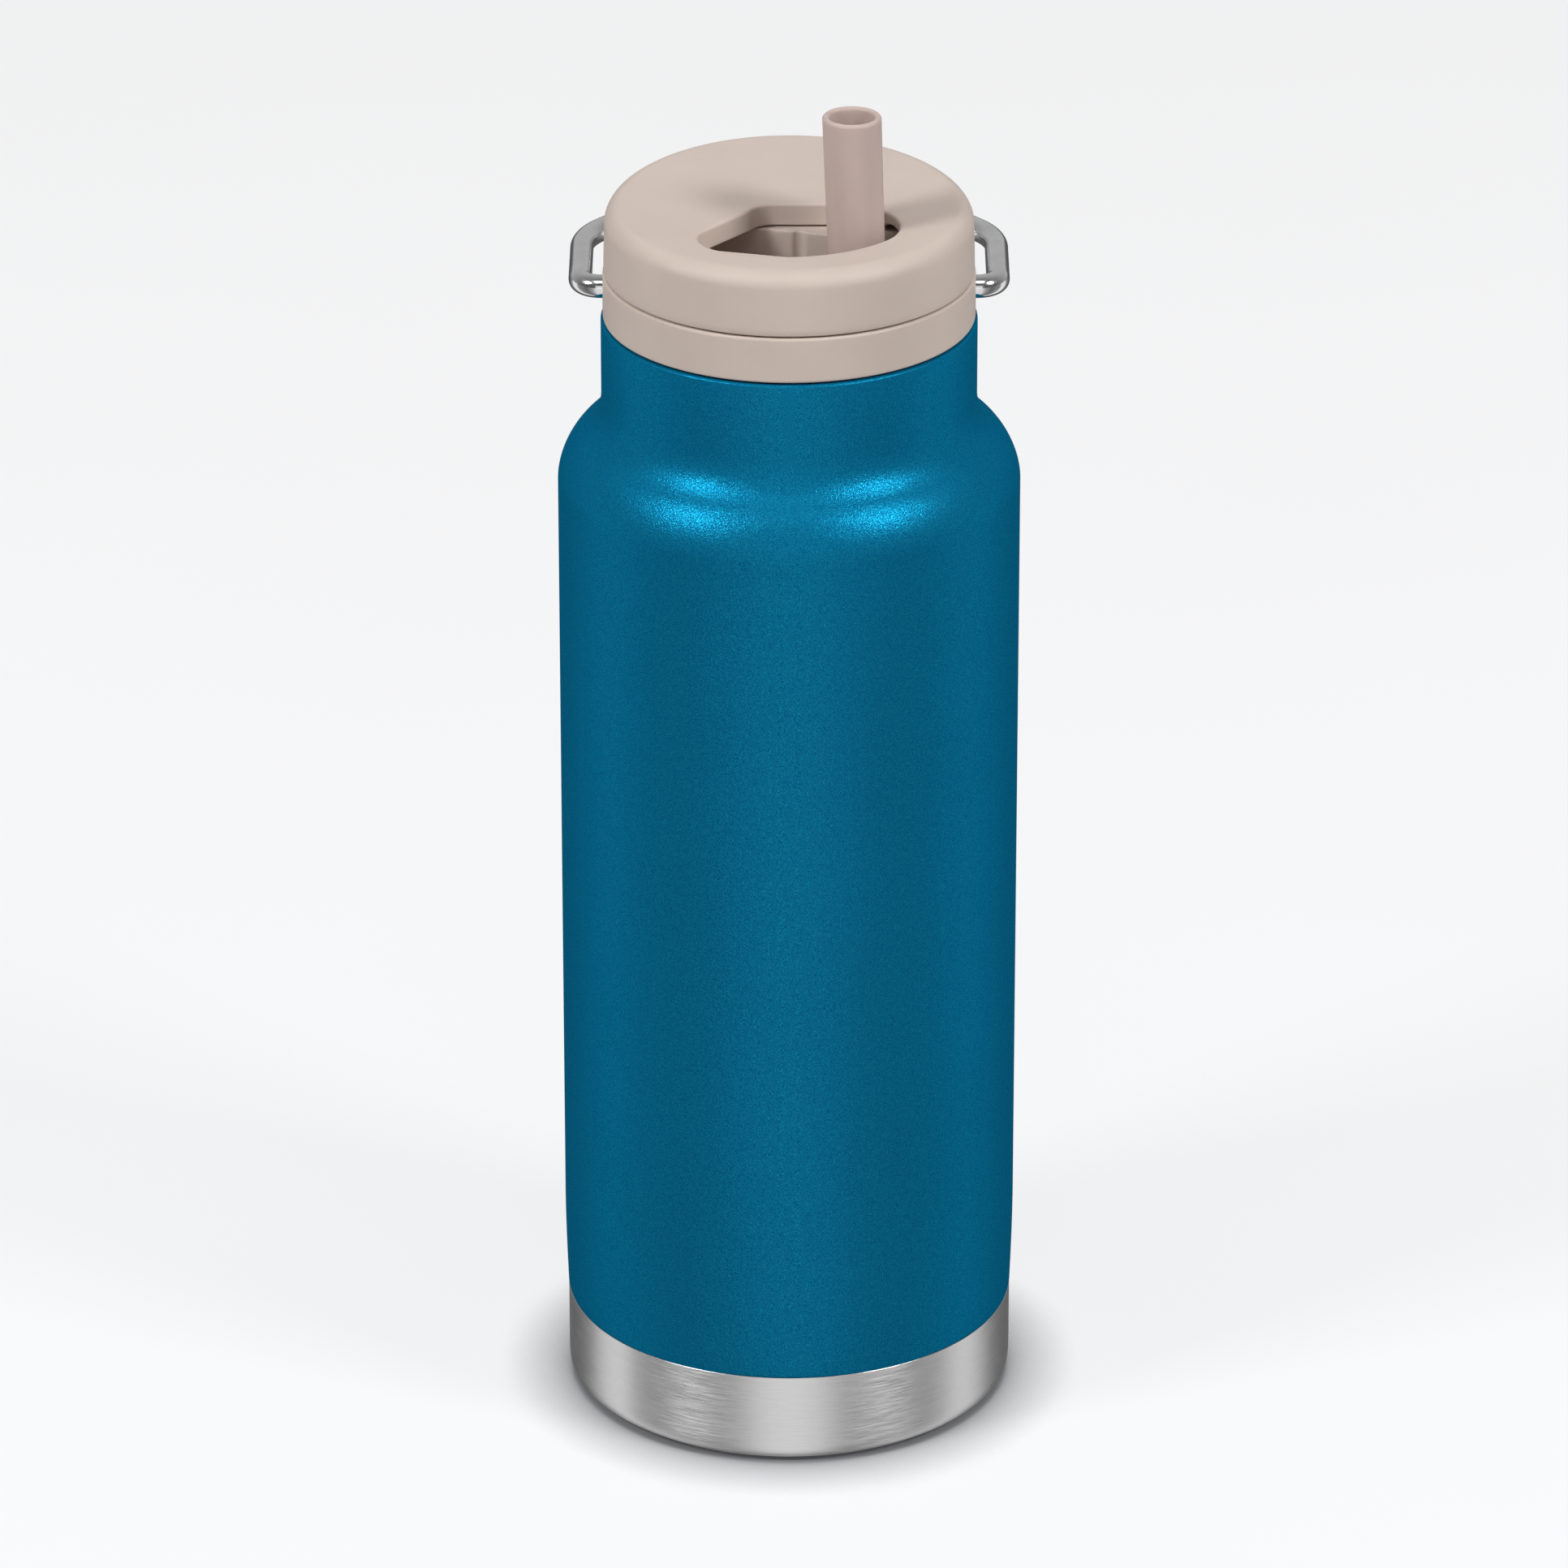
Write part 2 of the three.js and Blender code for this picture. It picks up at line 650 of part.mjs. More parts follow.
// Upper half of the soft mouthpiece: the tube that folds. Its foot is round about the fold line.
function mouthpieceTube() {
  const footAngle = -THREE.MathUtils.radToDeg(Math.acos(TUBE_BORE_R / TUBE_R));
  const lip = (TUBE_R - TUBE_BORE_R) / 2;
  const tube = turned(
    [
      ...bend(0, 0, TUBE_R, footAngle, 0, 3),
      ...bend(TUBE_R - lip, TUBE_LENGTH - lip, lip, 0, 180, 4),
    ],
    SMALL_ROUND,
  );
  return tube.rotateY(-TUBE_LEAN).translate(STRAW_AXIS.x, STRAW_AXIS.y, FOLD_Z);
}

function lowerStraw() {
  const straw = turned(
    [
      [STRAW_BORE_R, STRAW_TIP_Z],
      [STRAW_R, STRAW_TIP_Z],
      [STRAW_R, STRAW_TOP_Z],
      [STRAW_BORE_R, STRAW_TOP_Z],
    ],
    SMALL_ROUND,
  );
  return straw.translate(STRAW_AXIS.x, STRAW_AXIS.y, 0);
}

// ---------- handle ----------

// Centre line of the rod: pivot end, bend, arm, corner, wide arc, and the same again mirrored.
function handleLine() {
  const half = HANDLE_HALF_WIDTH;
  const r = HANDLE_BEND_R;
  const turn = HANDLE_CORNER_TURN;
  const cornerX = half - HANDLE_CORNER_R;
  const gripR = HANDLE_CORNER_R + cornerX / Math.cos(turn);
  const gripY = HANDLE_STRAIGHT - cornerX * Math.tan(turn);
  const arc = (cx, cy, radius, from, to, steps) =>
    Array.from({ length: steps + 1 }, (_, i) => {
      const a = from + ((to - from) * i) / steps;
      return new THREE.Vector3(cx + radius * Math.cos(a), cy + radius * Math.sin(a), 0);
    });
  const rightSide = [
    new THREE.Vector3(PIVOT_END_X, 0, 0),
    ...arc(half - r, r, r, -Math.PI / 2, 0, 4),
    ...arc(cornerX, HANDLE_STRAIGHT, HANDLE_CORNER_R, 0, turn, 4).slice(0, -1),
    ...arc(0, gripY, gripR, turn, Math.PI / 2, 6),
  ];
  const leftSide = rightSide.slice(0, -1).map((p) => new THREE.Vector3(-p.x, p.y, 0));
  return [...rightSide, ...leftSide.reverse()];
}

// The rod: a round section swept along the centre line, each ring square to the line at its point.
function bailHandle() {
  const line = handleLine();
  const sides = 10;
  const vertices = [];
  const triangles = [];
  const up = new THREE.Vector3(0, 0, 1);
  line.forEach((point, i) => {
    const before = line[Math.max(i - 1, 0)];
    const after = line[Math.min(i + 1, line.length - 1)];
    const along = after.clone().sub(before).normalize();
    const out = new THREE.Vector3().crossVectors(along, up);
    for (let k = 0; k < sides; k++) {
      const a = (k / sides) * 2 * Math.PI;
      const rim = point
        .clone()
        .addScaledVector(out, ROD_R * Math.cos(a))
        .addScaledVector(up, ROD_R * Math.sin(a));
      vertices.push(rim.x, rim.y, rim.z);
    }
  });
  const rings = line.length;
  for (let i = 0; i < rings - 1; i++) {
    for (let k = 0; k < sides; k++) {
      const a = i * sides + k;
      const b = i * sides + ((k + 1) % sides);
      triangles.push(a, b, b + sides, a, b + sides, a + sides);
    }
  }
  for (let k = 1; k < sides - 1; k++) {
    const last = (rings - 1) * sides;
    triangles.push(0, k + 1, k, last, last + k, last + k + 1);
  }
  const geometry = new THREE.BufferGeometry();
  geometry.setAttribute("position", new THREE.Float32BufferAttribute(vertices, 3));
  geometry.setIndex(triangles);
  return geometry.translate(0, 0, PIVOT_Z);
}

// ---------- the object ----------

piece("outer_shell", outerShell(), paint);
piece("base_cup", baseCup(), brushedSteel);
piece("base_disc", baseDisc(), brushedSteel);
piece("liner_wall", linerWall(), brushedSteel);
piece("liner_neck", linerNeck(), brushedSteel);
piece("liner_base", linerBase(), brushedSteel);
piece("vacuum_seal", vacuumSeal(), solder);
piece("getter", getter(), solder);

piece("cap_body", capBody(), capPlastic);
piece("straw_tray", strawTray(), capPlastic);
piece("plug_cup", plugCup(), capPlastic);
piece("plug_insulation", plugInsulation(), foam);
piece("cap_gasket", capGasket(), sealRubber);
piece("vent_valve", ventValve(), sealRubber);
piece("mouthpiece_base", mouthpieceBase(), silicone);
piece("lower_straw", lowerStraw(), strawPlastic);

piece("dial", dial(), capPlastic);
piece("dial_glide_ring", dialGlideRing(), strawPlastic);
piece("mouthpiece_tube", mouthpieceTube(), silicone);
piece("bail_handle", bailHandle(), polishedSteel);

export default object;
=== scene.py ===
"""Looks of the insulated bottle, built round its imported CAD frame.

Shapes are worked out in millimetres in the part's own frame and turned into metres as they become meshes.
"""

import math

import bmesh
import bpy
import numpy as np
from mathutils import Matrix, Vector


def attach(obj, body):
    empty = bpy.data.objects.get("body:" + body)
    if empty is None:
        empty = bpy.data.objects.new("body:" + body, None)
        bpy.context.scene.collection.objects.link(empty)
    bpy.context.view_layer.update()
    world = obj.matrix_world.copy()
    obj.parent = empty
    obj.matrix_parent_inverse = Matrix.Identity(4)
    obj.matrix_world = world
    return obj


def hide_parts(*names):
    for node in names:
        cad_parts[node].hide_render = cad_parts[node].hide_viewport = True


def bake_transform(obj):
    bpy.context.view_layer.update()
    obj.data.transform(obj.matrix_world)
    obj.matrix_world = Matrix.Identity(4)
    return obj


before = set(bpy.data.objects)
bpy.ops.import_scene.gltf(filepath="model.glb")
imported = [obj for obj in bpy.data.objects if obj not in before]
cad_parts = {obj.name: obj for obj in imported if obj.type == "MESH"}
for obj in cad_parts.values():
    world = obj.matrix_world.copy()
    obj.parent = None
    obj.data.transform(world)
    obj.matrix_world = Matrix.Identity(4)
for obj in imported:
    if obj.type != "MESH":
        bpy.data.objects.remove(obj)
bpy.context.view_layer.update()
MM = 0.001
TAU = 2 * math.pi

# ---------- dimensions, in mm ----------

BODY_R, STEEL_R, NECK_R, WALL = 44.45, 43.9, 36.0, 0.4
PAINT_Z, TAPER_Z, SHOULDER_Z, NECK_FOOT_Z, RIM_Z = 19.0, 40.0, 192.2, 203.5, 225.2
LINER_R, MOUTH_R = 40.9, 28.5
RING_R, RING_LOW_Z, RING_TOP_Z = 35.6, 225.6, 234.5
TURRET_R, DECK_Z = 32.6, 242.8
DIAL_R, DIAL_LOW_Z, DIAL_TOP_Z, DIAL_UNDER_Z, DIAL_FILLET = 35.4, 234.8, 247.3, 243.2, 3.3
TUBE_AT = (13.1, -11.0)
FOLD_Z, FOLD_HEADING = 232.0, math.radians(166)
TUBE_R, TUBE_BORE_R, TUBE_LENGTH, TUBE_LEAN = 5.6, 4.3, 37.9, math.radians(2)
TROUGH_R, TROUGH_LENGTH, WELL_R, WELL_Z = 6.3, 43.2, 8.0, 225.2
POCKET_AT, POCKET_R, POCKET_Z = (19.2, -8.6), 7.4, 227
GROOVE_AT, GROOVE_R = (1.7, -2.3), 1.5
VENT_AT, VENT_HOLE_R = (-11, 12), 1.2
PLUG_R, PLUG_LOW_Z, PLUG_TOP_Z, PLUG_WALL, STRAW_HOLE_R = 26.6, 207.0, 224.55, 1.8, 6.2
STRAW_R, STRAW_BORE_R, STRAW_LOW_Z, STRAW_TOP_Z = 4.3, 3.7, 12.0, 217.5
THREAD_TURNS, THREAD_PITCH = 1.25, 5.0
PIVOT_Z, ROD_R, PIVOT_HOLE_R = 231.1, 2.25, 2.38

# ---------- mesh helpers ----------


def make(name, vertices, faces, material, body=None, slot=None, replaces=()):
    """A smooth mesh from mm vertices. It may ride on a CAD body and stand for CAD nodes."""
    mesh = bpy.data.meshes.new(name)
    mesh.from_pydata([tuple(v) for v in np.asarray(vertices, float) * MM], [], faces)
    mesh.materials.append(material)
    bm = bmesh.new()
    bm.from_mesh(mesh)
    bmesh.ops.recalc_face_normals(bm, faces=bm.faces)
    bm.to_mesh(mesh)
    bm.free()
    mesh.shade_smooth()
    obj = bpy.data.objects.new(name, mesh)
    bpy.context.scene.collection.objects.link(obj)
    if body:
        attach(obj, body)
    if replaces:
        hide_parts(*replaces)
    return obj


def loft(rings, closed=False):
    """Faces between successive rings of points. Open lofts end in flat caps, or in fans at single points."""
    rings = [np.asarray(r, float) for r in rings]
    n = max(len(r) for r in rings)
    vertices = np.concatenate(rings)
    starts = np.cumsum([0] + [len(r) for r in rings])
    faces = []
    pairs = [(i, i + 1) for i in range(len(rings) - 1)]
    if closed:
        pairs.append((len(rings) - 1, 0))
    for i, j in pairs:
        a, b = starts[i], starts[j]
        for k in range(n):
            m = (k + 1) % n
            if len(rings[i]) == 1:
                faces.append((a, b + k, b + m))
            elif len(rings[j]) == 1:
                faces.append((a + k, a + m, b))
            else:
                faces.append((a + k, a + m, b + m, b + k))
    if not closed:
        for i in (0, len(rings) - 1):
            if len(rings[i]) > 1:
                faces.append(tuple(range(starts[i], starts[i] + n)))
    return vertices, faces


def rounded(points):
    """Rounds each [r, z, radius] corner of a closed profile and adds a support point beside the rounding."""
    steps, longest, support = 4, 0.45, 1.8
    out = []
    for i, (r, z, radius) in enumerate(points):
        p = np.array((r, z), float)
        if radius == 0:
            out.append(p)
            continue
        before = np.array(points[i - 1][:2], float) - p
        after = np.array(points[(i + 1) % len(points)][:2], float) - p
        la, lb = np.linalg.norm(before), np.linalg.norm(after)
        before, after = before / la, after / lb
        angle = math.acos(max(-1, min(1, float(before @ after))))
        reach = min(radius / math.tan(angle / 2), longest * la, longest * lb)
        a, b = p + before * reach, p + after * reach
        if la > 4 * reach:
            out.append(p + before * reach * support)
        for s in range(steps + 1):
            t = s / steps
            out.append((1 - t) ** 2 * a + 2 * t * (1 - t) * p + t * t * b)
        if lb > 4 * reach:
            out.append(p + after * reach * support)
    return out


def turned(profile, n, closed=True, at=(0, 0)):
    """Turns a profile of [r, z] points about an upright axis. A point with r = 0 becomes a pole."""
    angle = np.linspace(0, TAU, n, endpoint=False)
    rings = []
    for r, z in profile:
        if r < 1e-6:
            rings.append([(at[0], at[1], z)])
        else:
            x, y = at[0] + r * np.cos(angle), at[1] + r * np.sin(angle)
            rings.append(np.stack([x, y, np.full(n, z)], axis=1))
    return loft(rings, closed)


def superellipse(wall_r, neck_r, low_z, high_z, steps):
    """The shoulder from the wall up to the neck."""
    power = 1.17
    out = []
    for i in range(steps + 1):
        a = math.pi / 2 * (1 - i / steps)
        reach = neck_r + (wall_r - neck_r) * math.sin(a) ** power
        out.append((reach, low_z + (high_z - low_z) * abs(math.cos(a)) ** power))
    return out


def arc(r, z, radius, start, end, steps):
    """Points on a circle of a profile, angles in degrees from +r to +z."""
    out = []
    for i in range(steps + 1):
        a = math.radians(start + (end - start) * i / steps)
        out.append((r + radius * math.cos(a), z + radius * math.sin(a)))
    return out


def sweep(line, radius, sides):
    """A round rod along a line of points that lies in a level plane, with slightly rounded ends."""
    line = np.asarray(line, float)
    along = np.gradient(line, axis=0)
    along /= np.linalg.norm(along, axis=1)[:, None]
    out = np.cross(along, (0, 0, 1))
    angle = np.linspace(0, TAU, sides, endpoint=False)
    edge = 0.4
    rounding = (0, 0.3, 0.7, 1)

    def ring(i, shift, r):
        centre = line[i] + along[i] * shift
        return [centre + out[i] * r * math.cos(a) + np.array((0, 0, r * math.sin(a))) for a in angle]

    def end_ring(i, t, inward):
        r = radius - edge + edge * math.sin(t * math.pi / 2)
        return ring(i, inward * edge * (1 - math.cos(t * math.pi / 2)), r)

    last = len(line) - 1
    rings = [end_ring(0, t, 1) for t in rounding]
    rings += [ring(i, 0, radius) for i in range(1, last)]
    rings += [end_ring(last, t, -1) for t in reversed(rounding)]
    return loft(rings)


def thread(root_r, crest_r, start_z, inward=False):
    """A rounded thread ridge wound up a helix, fading out at both ends."""
    per_turn, across, fade_steps, half_width, sunk = 96, 8, 14, 1.4, 0.35
    steps = int(per_turn * THREAD_TURNS)
    back = root_r + (sunk if inward else -sunk)
    rings = []
    for i in range(steps + 1):
        angle = i / per_turn * TAU
        fade = min(1, i / fade_steps, (steps - i) / fade_steps)
        height = (crest_r - root_r) * (math.sin(fade * math.pi / 2) if fade < 1 else 1)
        z = start_z + i / per_turn * THREAD_PITCH
        section = []
        for k in range(across + 1):
            t = k / across
            r = root_r + height * math.sin(math.pi * t) ** 0.55
            section.append((r, z + (-half_width + 2 * half_width * t)))
        section += [(back, z + half_width), (back, z - half_width)]
        rings.append([(r * math.cos(angle), r * math.sin(angle), level) for r, level in section])
    return loft(rings)


def joined(*parts):
    """Several vertex and face lists as one."""
    vertices, faces, start = [], [], 0
    for v, f in parts:
        vertices.append(np.asarray(v, float))
        faces += [tuple(start + i for i in face) for face in f]
        start += len(v)
    return np.concatenate(vertices), faces


# ---------- material helpers ----------


class Mat:
    """A Principled material whose nodes are added by short calls."""

    def __init__(self, name, **sockets):
        self.material = bpy.data.materials.new(name)
        self.material.use_nodes = True
        self.tree = self.material.node_tree
        self.shader = self.tree.nodes["Principled BSDF"]
        for key, value in sockets.items():
            self.shader.inputs[key.replace("_", " ")].default_value = value
        self.where = self.add("ShaderNodeTexCoord").outputs["Object"]

    def add(self, kind, **settings):
        node = self.tree.nodes.new(kind)
        for key, value in settings.items():
            setattr(node, key, value)
        return node

    def put(self, value, socket):
        if isinstance(value, bpy.types.NodeSocket):
            self.tree.links.new(value, socket)
        else:
            socket.default_value = value

    def noise(self, scale, detail, rough=0.55, stretch=None):
        where = self.where
        if stretch:
            mapping = self.add("ShaderNodeMapping")
            mapping.inputs["Scale"].default_value = stretch
            self.put(where, mapping.inputs["Vector"])
            where = mapping.outputs["Vector"]
        node = self.add("ShaderNodeTexNoise")
        node.inputs["Scale"].default_value = scale
        node.inputs["Detail"].default_value = detail
        node.inputs["Roughness"].default_value = rough
        self.put(where, node.inputs["Vector"])
        return node.outputs["Fac"]

    def spread(self, value, low, high, to_low, to_high):
        node = self.add("ShaderNodeMapRange")
        for key, v in zip(("From Min", "From Max", "To Min", "To Max"), (low, high, to_low, to_high)):
            node.inputs[key].default_value = v
        self.put(value, node.inputs["Value"])
        return node.outputs["Result"]

    def mix(self, factor, a, b):
        node = self.add("ShaderNodeMix", data_type="RGBA")
        for socket, value in zip((0, 6, 7), (factor, a, b)):
            self.put(value, node.inputs[socket])
        return node.outputs[2]

    def bump(self, height, strength, distance, after=None):
        node = self.add("ShaderNodeBump")
        node.inputs["Strength"].default_value = strength
        node.inputs["Distance"].default_value = distance
        self.put(height, node.inputs["Height"])
        if after is not None:
            self.put(after, node.inputs["Normal"])
        return node.outputs["Normal"]


def colour(r, g, b):
    """Linear colour of an sRGB one given in 0 to 255."""
    def linear(v):
        v /= 255
        return v / 12.92 if v <= 0.04045 else ((v + 0.055) / 1.055) ** 2.4
    return (linear(r), linear(g), linear(b), 1.0)


def scaled(base, factor):
    """A colour made darker or lighter, held below white."""
    return [min(1, c * factor) for c in base[:3]] + [1]


def powder_coat():
    """Matte blue coating with pale metal flake, on a grainy orange peel that breaks the highlights up."""
    m = Mat("powder_coat", Roughness=0.36)
    m.shader.inputs["Specular IOR Level"].default_value = 0.0
    m.shader.inputs["Specular Tint"].default_value = (0.05, 0.45, 0.7, 1.0)
    drift = m.spread(m.noise(26, 3.0), 0.3, 0.7, 0, 1)
    tone = m.mix(drift, colour(0, 71, 119), colour(0, 75, 125))
    flake = m.spread(m.noise(8500, 2.0), 0.44, 0.68, 0.06, 0.66)
    m.put(m.mix(flake, tone, colour(34, 178, 205)), m.shader.inputs["Base Color"])
    m.put(flake, m.shader.inputs["Metallic"])
    m.put(m.spread(m.noise(3000, 2.0), 0.3, 0.7, 0.30, 0.42), m.shader.inputs["Roughness"])
    grain = m.bump(m.noise(2600, 2.0), 0.7, 0.00012)
    peel = m.bump(m.noise(900, 2.0), 0.2, 0.00014, grain)
    m.put(peel, m.shader.inputs["Normal"])
    return m.material


def brushed_steel(name, tint, roughness, depth=1.0):
    """Steel with fine scratches that run round the axis, and the long highlights they give."""
    round_axis = (1, 1, 22)
    m = Mat(name, Metallic=1.0, Roughness=roughness, Anisotropic=0.9, Anisotropic_Rotation=0.25)
    tangent = m.add("ShaderNodeTangent", direction_type="RADIAL", axis="Z")
    m.put(tangent.outputs["Tangent"], m.shader.inputs["Tangent"])
    scratches = m.noise(160, 6.0, 0.72, round_axis)
    coarse = m.noise(38, 3.0, 0.6, round_axis)
    tone = m.mix(m.spread(scratches, 0.3, 0.7, 0, 1), scaled(tint, 0.80), tint)
    tone = m.mix(m.spread(coarse, 0.3, 0.7, 0, 0.25), tone, scaled(tint, 0.85))
    m.put(tone, m.shader.inputs["Base Color"])
    rough = m.spread(scratches, 0.3, 0.7, roughness - 0.06, roughness + 0.08)
    m.put(rough, m.shader.inputs["Roughness"])
    m.put(m.bump(scratches, 0.30 * depth, 0.00012), m.shader.inputs["Normal"])
    return m.material


def polished_steel():
    """Drawn rod: nearly mirror bright, with faint clouding and handling marks."""
    m = Mat("polished_rod", Metallic=1.0, Roughness=0.12)
    cloud = m.spread(m.noise(220, 4.0), 0.3, 0.7, 0, 1)
    m.put(m.mix(cloud, colour(214, 214, 216), colour(228, 228, 229)), m.shader.inputs["Base Color"])
    m.put(m.spread(m.noise(900, 4.0), 0.3, 0.75, 0.09, 0.2), m.shader.inputs["Roughness"])
    m.put(m.bump(m.noise(2600, 3.0), 0.05, 0.00005), m.shader.inputs["Normal"])
    return m.material


def moulded(name, base, roughness, grain=0.12, wax=0.0):
    """Fine spark-eroded moulded plastic, with slow colour drift and, with wax, a little light inside it."""
    variation = 0.035
    m = Mat(name, Roughness=roughness)
    m.shader.inputs["Specular IOR Level"].default_value = 0.35
    if wax:
        m.shader.inputs["Subsurface Weight"].default_value = wax
        m.shader.inputs["Subsurface Radius"].default_value = (0.004, 0.003, 0.0025)
        m.shader.inputs["Subsurface Scale"].default_value = 0.4
    drift = m.spread(m.noise(45, 4.0), 0.3, 0.7, 0, 1)
    tone = m.mix(drift, scaled(base, 1 - variation), scaled(base, 1 + variation))
    speck = m.spread(m.noise(5200, 2.0), 0.62, 0.75, 0, 0.10)
    m.put(m.mix(speck, tone, scaled(base, 0.8)), m.shader.inputs["Base Color"])
    rough = m.spread(m.noise(1800, 3.0), 0.3, 0.7, roughness - 0.05, roughness + 0.06)
    m.put(rough, m.shader.inputs["Roughness"])
    m.put(m.bump(m.noise(3800, 3.0), grain, 0.00008), m.shader.inputs["Normal"])
    return m.material


paint = powder_coat()
steel = brushed_steel("brushed_foot", colour(232, 231, 231), 0.33)
liner_steel = brushed_steel("liner_steel", colour(206, 205, 203), 0.34, 0.7)
disc_steel = brushed_steel("disc_steel", colour(205, 204, 203), 0.33, 0.8)
rod_steel = polished_steel()
cap_plastic = moulded("cap_plastic", colour(204, 189, 179), 0.58, wax=0.12)
plug_plastic = moulded("plug_plastic", colour(205, 191, 179), 0.50, wax=0.15)
silicone = moulded("tube_silicone", colour(195, 176, 169), 0.62, grain=0.08, wax=0.35)
seal = moulded("seal_silicone", colour(226, 222, 214), 0.60, grain=0.08, wax=0.4)
straw_plastic = moulded("straw_polypropylene", colour(232, 229, 222), 0.38, grain=0.06, wax=0.5)
foam = moulded("foam", colour(238, 234, 224), 0.92, grain=0.5, wax=0.1)
solder = moulded("solder_grey", colour(150, 150, 154), 0.45)
solder.node_tree.nodes["Principled BSDF"].inputs["Metallic"].default_value = 1.0

# ---------- bottle ----------


def outer_shell():
    """Coated wall: drawn in to the foot, straight, round shoulder, soft fillet up to the neck, curled lip."""
    fillet_reach, fillet_steps, draw_steps = 3.4, 14, 8
    curve = superellipse(BODY_R, NECK_R, SHOULDER_Z, NECK_FOOT_Z, 40)
    curve = [np.array(p) for p in curve if p[0] > NECK_R + fillet_reach]
    start = curve[-1]
    slope = start - curve[-2]
    corner = start + slope * (NECK_R - start[0]) / slope[0]
    end = corner + (0, np.linalg.norm(corner - start))
    ease = []
    for i in range(1, fillet_steps + 1):
        t = i / fillet_steps
        ease.append((1 - t) ** 2 * start + 2 * t * (1 - t) * corner + t * t * end)
    foot_r, foot_z = STEEL_R + 0.06, PAINT_Z + 0.6
    wall = [(STEEL_R, PAINT_Z + 0.25), (foot_r, foot_z)]
    for i in range(1, draw_steps + 1):
        t = i / draw_steps
        r = foot_r + (BODY_R - STEEL_R - 0.06) * math.sin(t * math.pi / 2)
        wall.append((r, foot_z + (TAPER_Z - PAINT_Z - 0.6) * t))
    wall += [(BODY_R, z) for z in np.linspace(TAPER_Z + 2, SHOULDER_Z - 1, 24)]
    outside = wall + curve + ease + [(NECK_R, 212), (NECK_R, 218)]
    lip_r = 34.3
    top = arc(NECK_R - 0.5, RIM_Z - 0.5, 0.5, 0, 90, 5)
    top += [(lip_r + 0.1, RIM_Z), (lip_r, RIM_Z - 0.1), (lip_r, RIM_Z - 0.25)]
    inside = [
        (NECK_R - WALL, RIM_Z - 0.3), (NECK_R - WALL, NECK_FOOT_Z),
        (BODY_R - WALL, SHOULDER_Z), (STEEL_R - WALL, PAINT_Z),
    ]
    profile = [(STEEL_R - 0.15, PAINT_Z)] + outside + top + inside
    v, f = turned(profile, 256)
    return make("painted_wall", v, f, paint, "bottle", "powder_coat", ["outer_shell"])


def foot_cup():
    """Bare brushed foot: a rolled edge just above the floor, a plain wall and a sharp top under the paint."""
    r = STEEL_R
    profile = [
        (r - 0.4, PAINT_Z - 0.02), (r - 0.04, PAINT_Z - 0.02), (r, PAINT_Z - 0.06), (r, PAINT_Z - 0.15),
        (r, 17.5), (r, 12), (r, 7), (r - 0.02, 4.2), (r - 0.08, 3.2),
        (r - 0.30, 2.35), (r - 0.75, 1.62), (r - 1.4, 1.05),
        (r - 2.1, 0.62), (r - 2.6, 0.25), (r - 3.2, 0.04), (r - 3.7, 0.0),
        (38.2, 0.0), (37.7, 0.12), (37.5, 0.4), (37.5, 0.85),
        (3.0, 0.85), (1.5, 0.85), (1.5, 1.25), (37.9, 1.25), (37.9, 0.4), (r - 2.3, 0.5), (r - 0.4, 2.6),
    ]
    v, f = turned(profile, 256)
    return make("steel_foot", v, f, steel, "bottle", "brushed_steel", ["base_cup"])


def foot_disc():
    """Closing disc: flat, with a pressed middle, one pressed ring and a turned-in edge."""
    profile = [
        (0, 0.35), (9, 0.35), (9.8, 0.05), (11.0, 0.0), (30.5, 0.0), (31.2, 0.25), (32.0, 0.25),
        (32.7, 0.0), (36.6, 0.0), (37.0, 0.1), (37.2, 0.35), (37.2, 0.8), (0, 0.8),
    ]
    v, f = turned(profile, 160, closed=False)
    return make("foot_disc", v, f, disc_steel, "bottle", "brushed_steel", ["base_disc"])


def inner_vessel():
    """Drawn liner with its rolled rim and one thread ridge inside the neck."""
    inside_r, outside_neck_r, weld_z = LINER_R - WALL, MOUTH_R + WALL, 14.0
    low, foot = SHOULDER_Z - 2, NECK_FOOT_Z + 2.5
    profile = [(inside_r, weld_z), (inside_r, 100)]
    profile += superellipse(inside_r, MOUTH_R, low, foot, 20)
    profile += [(MOUTH_R, 212), (MOUTH_R, 220), (MOUTH_R, 224.2), (MOUTH_R + 0.15, 224.8)]
    profile += [(MOUTH_R + 0.5, 225.1), (MOUTH_R + 1.1, RIM_Z), (32, RIM_Z), (34.0, RIM_Z), (34.2, 225.1)]
    profile += [(34.25, 224.85), (35.5, 224.8), (35.5, 224.4), (outside_neck_r, 224.4)]
    profile += superellipse(LINER_R, outside_neck_r, low, foot + WALL, 20)[::-1]
    profile += [(LINER_R, 100), (LINER_R, weld_z)]
    ridge = thread(MOUTH_R + 0.05, 27.85, 213.2, inward=True)
    v, f = joined(turned(profile, 192), ridge)
    return make("inner_vessel", v, f, liner_steel, "bottle", "brushed_steel", ["liner_wall", "liner_neck"])


def vessel_floor():
    """Domed bottom of the inner vessel, up to its weld."""
    corner, weld, floor_z, rim_r, dome = 7.95, 13.95, 6.0, 12, (1.5, 1.1)
    under = [(0, floor_z + dome[0]), (rim_r, floor_z + dome[1])]
    upper = [(rim_r, floor_z + dome[1] + WALL), (0, floor_z + dome[0] + WALL)]
    profile = under + arc(LINER_R - corner, weld, corner, -90, 0, 10)
    profile += arc(LINER_R - corner, weld, corner - WALL, 0, -90, 10) + upper
    v, f = turned(profile, 192, closed=False)
    return make("vessel_floor", v, f, liner_steel, "bottle", "brushed_steel", ["liner_base"])


# ---------- cap ----------


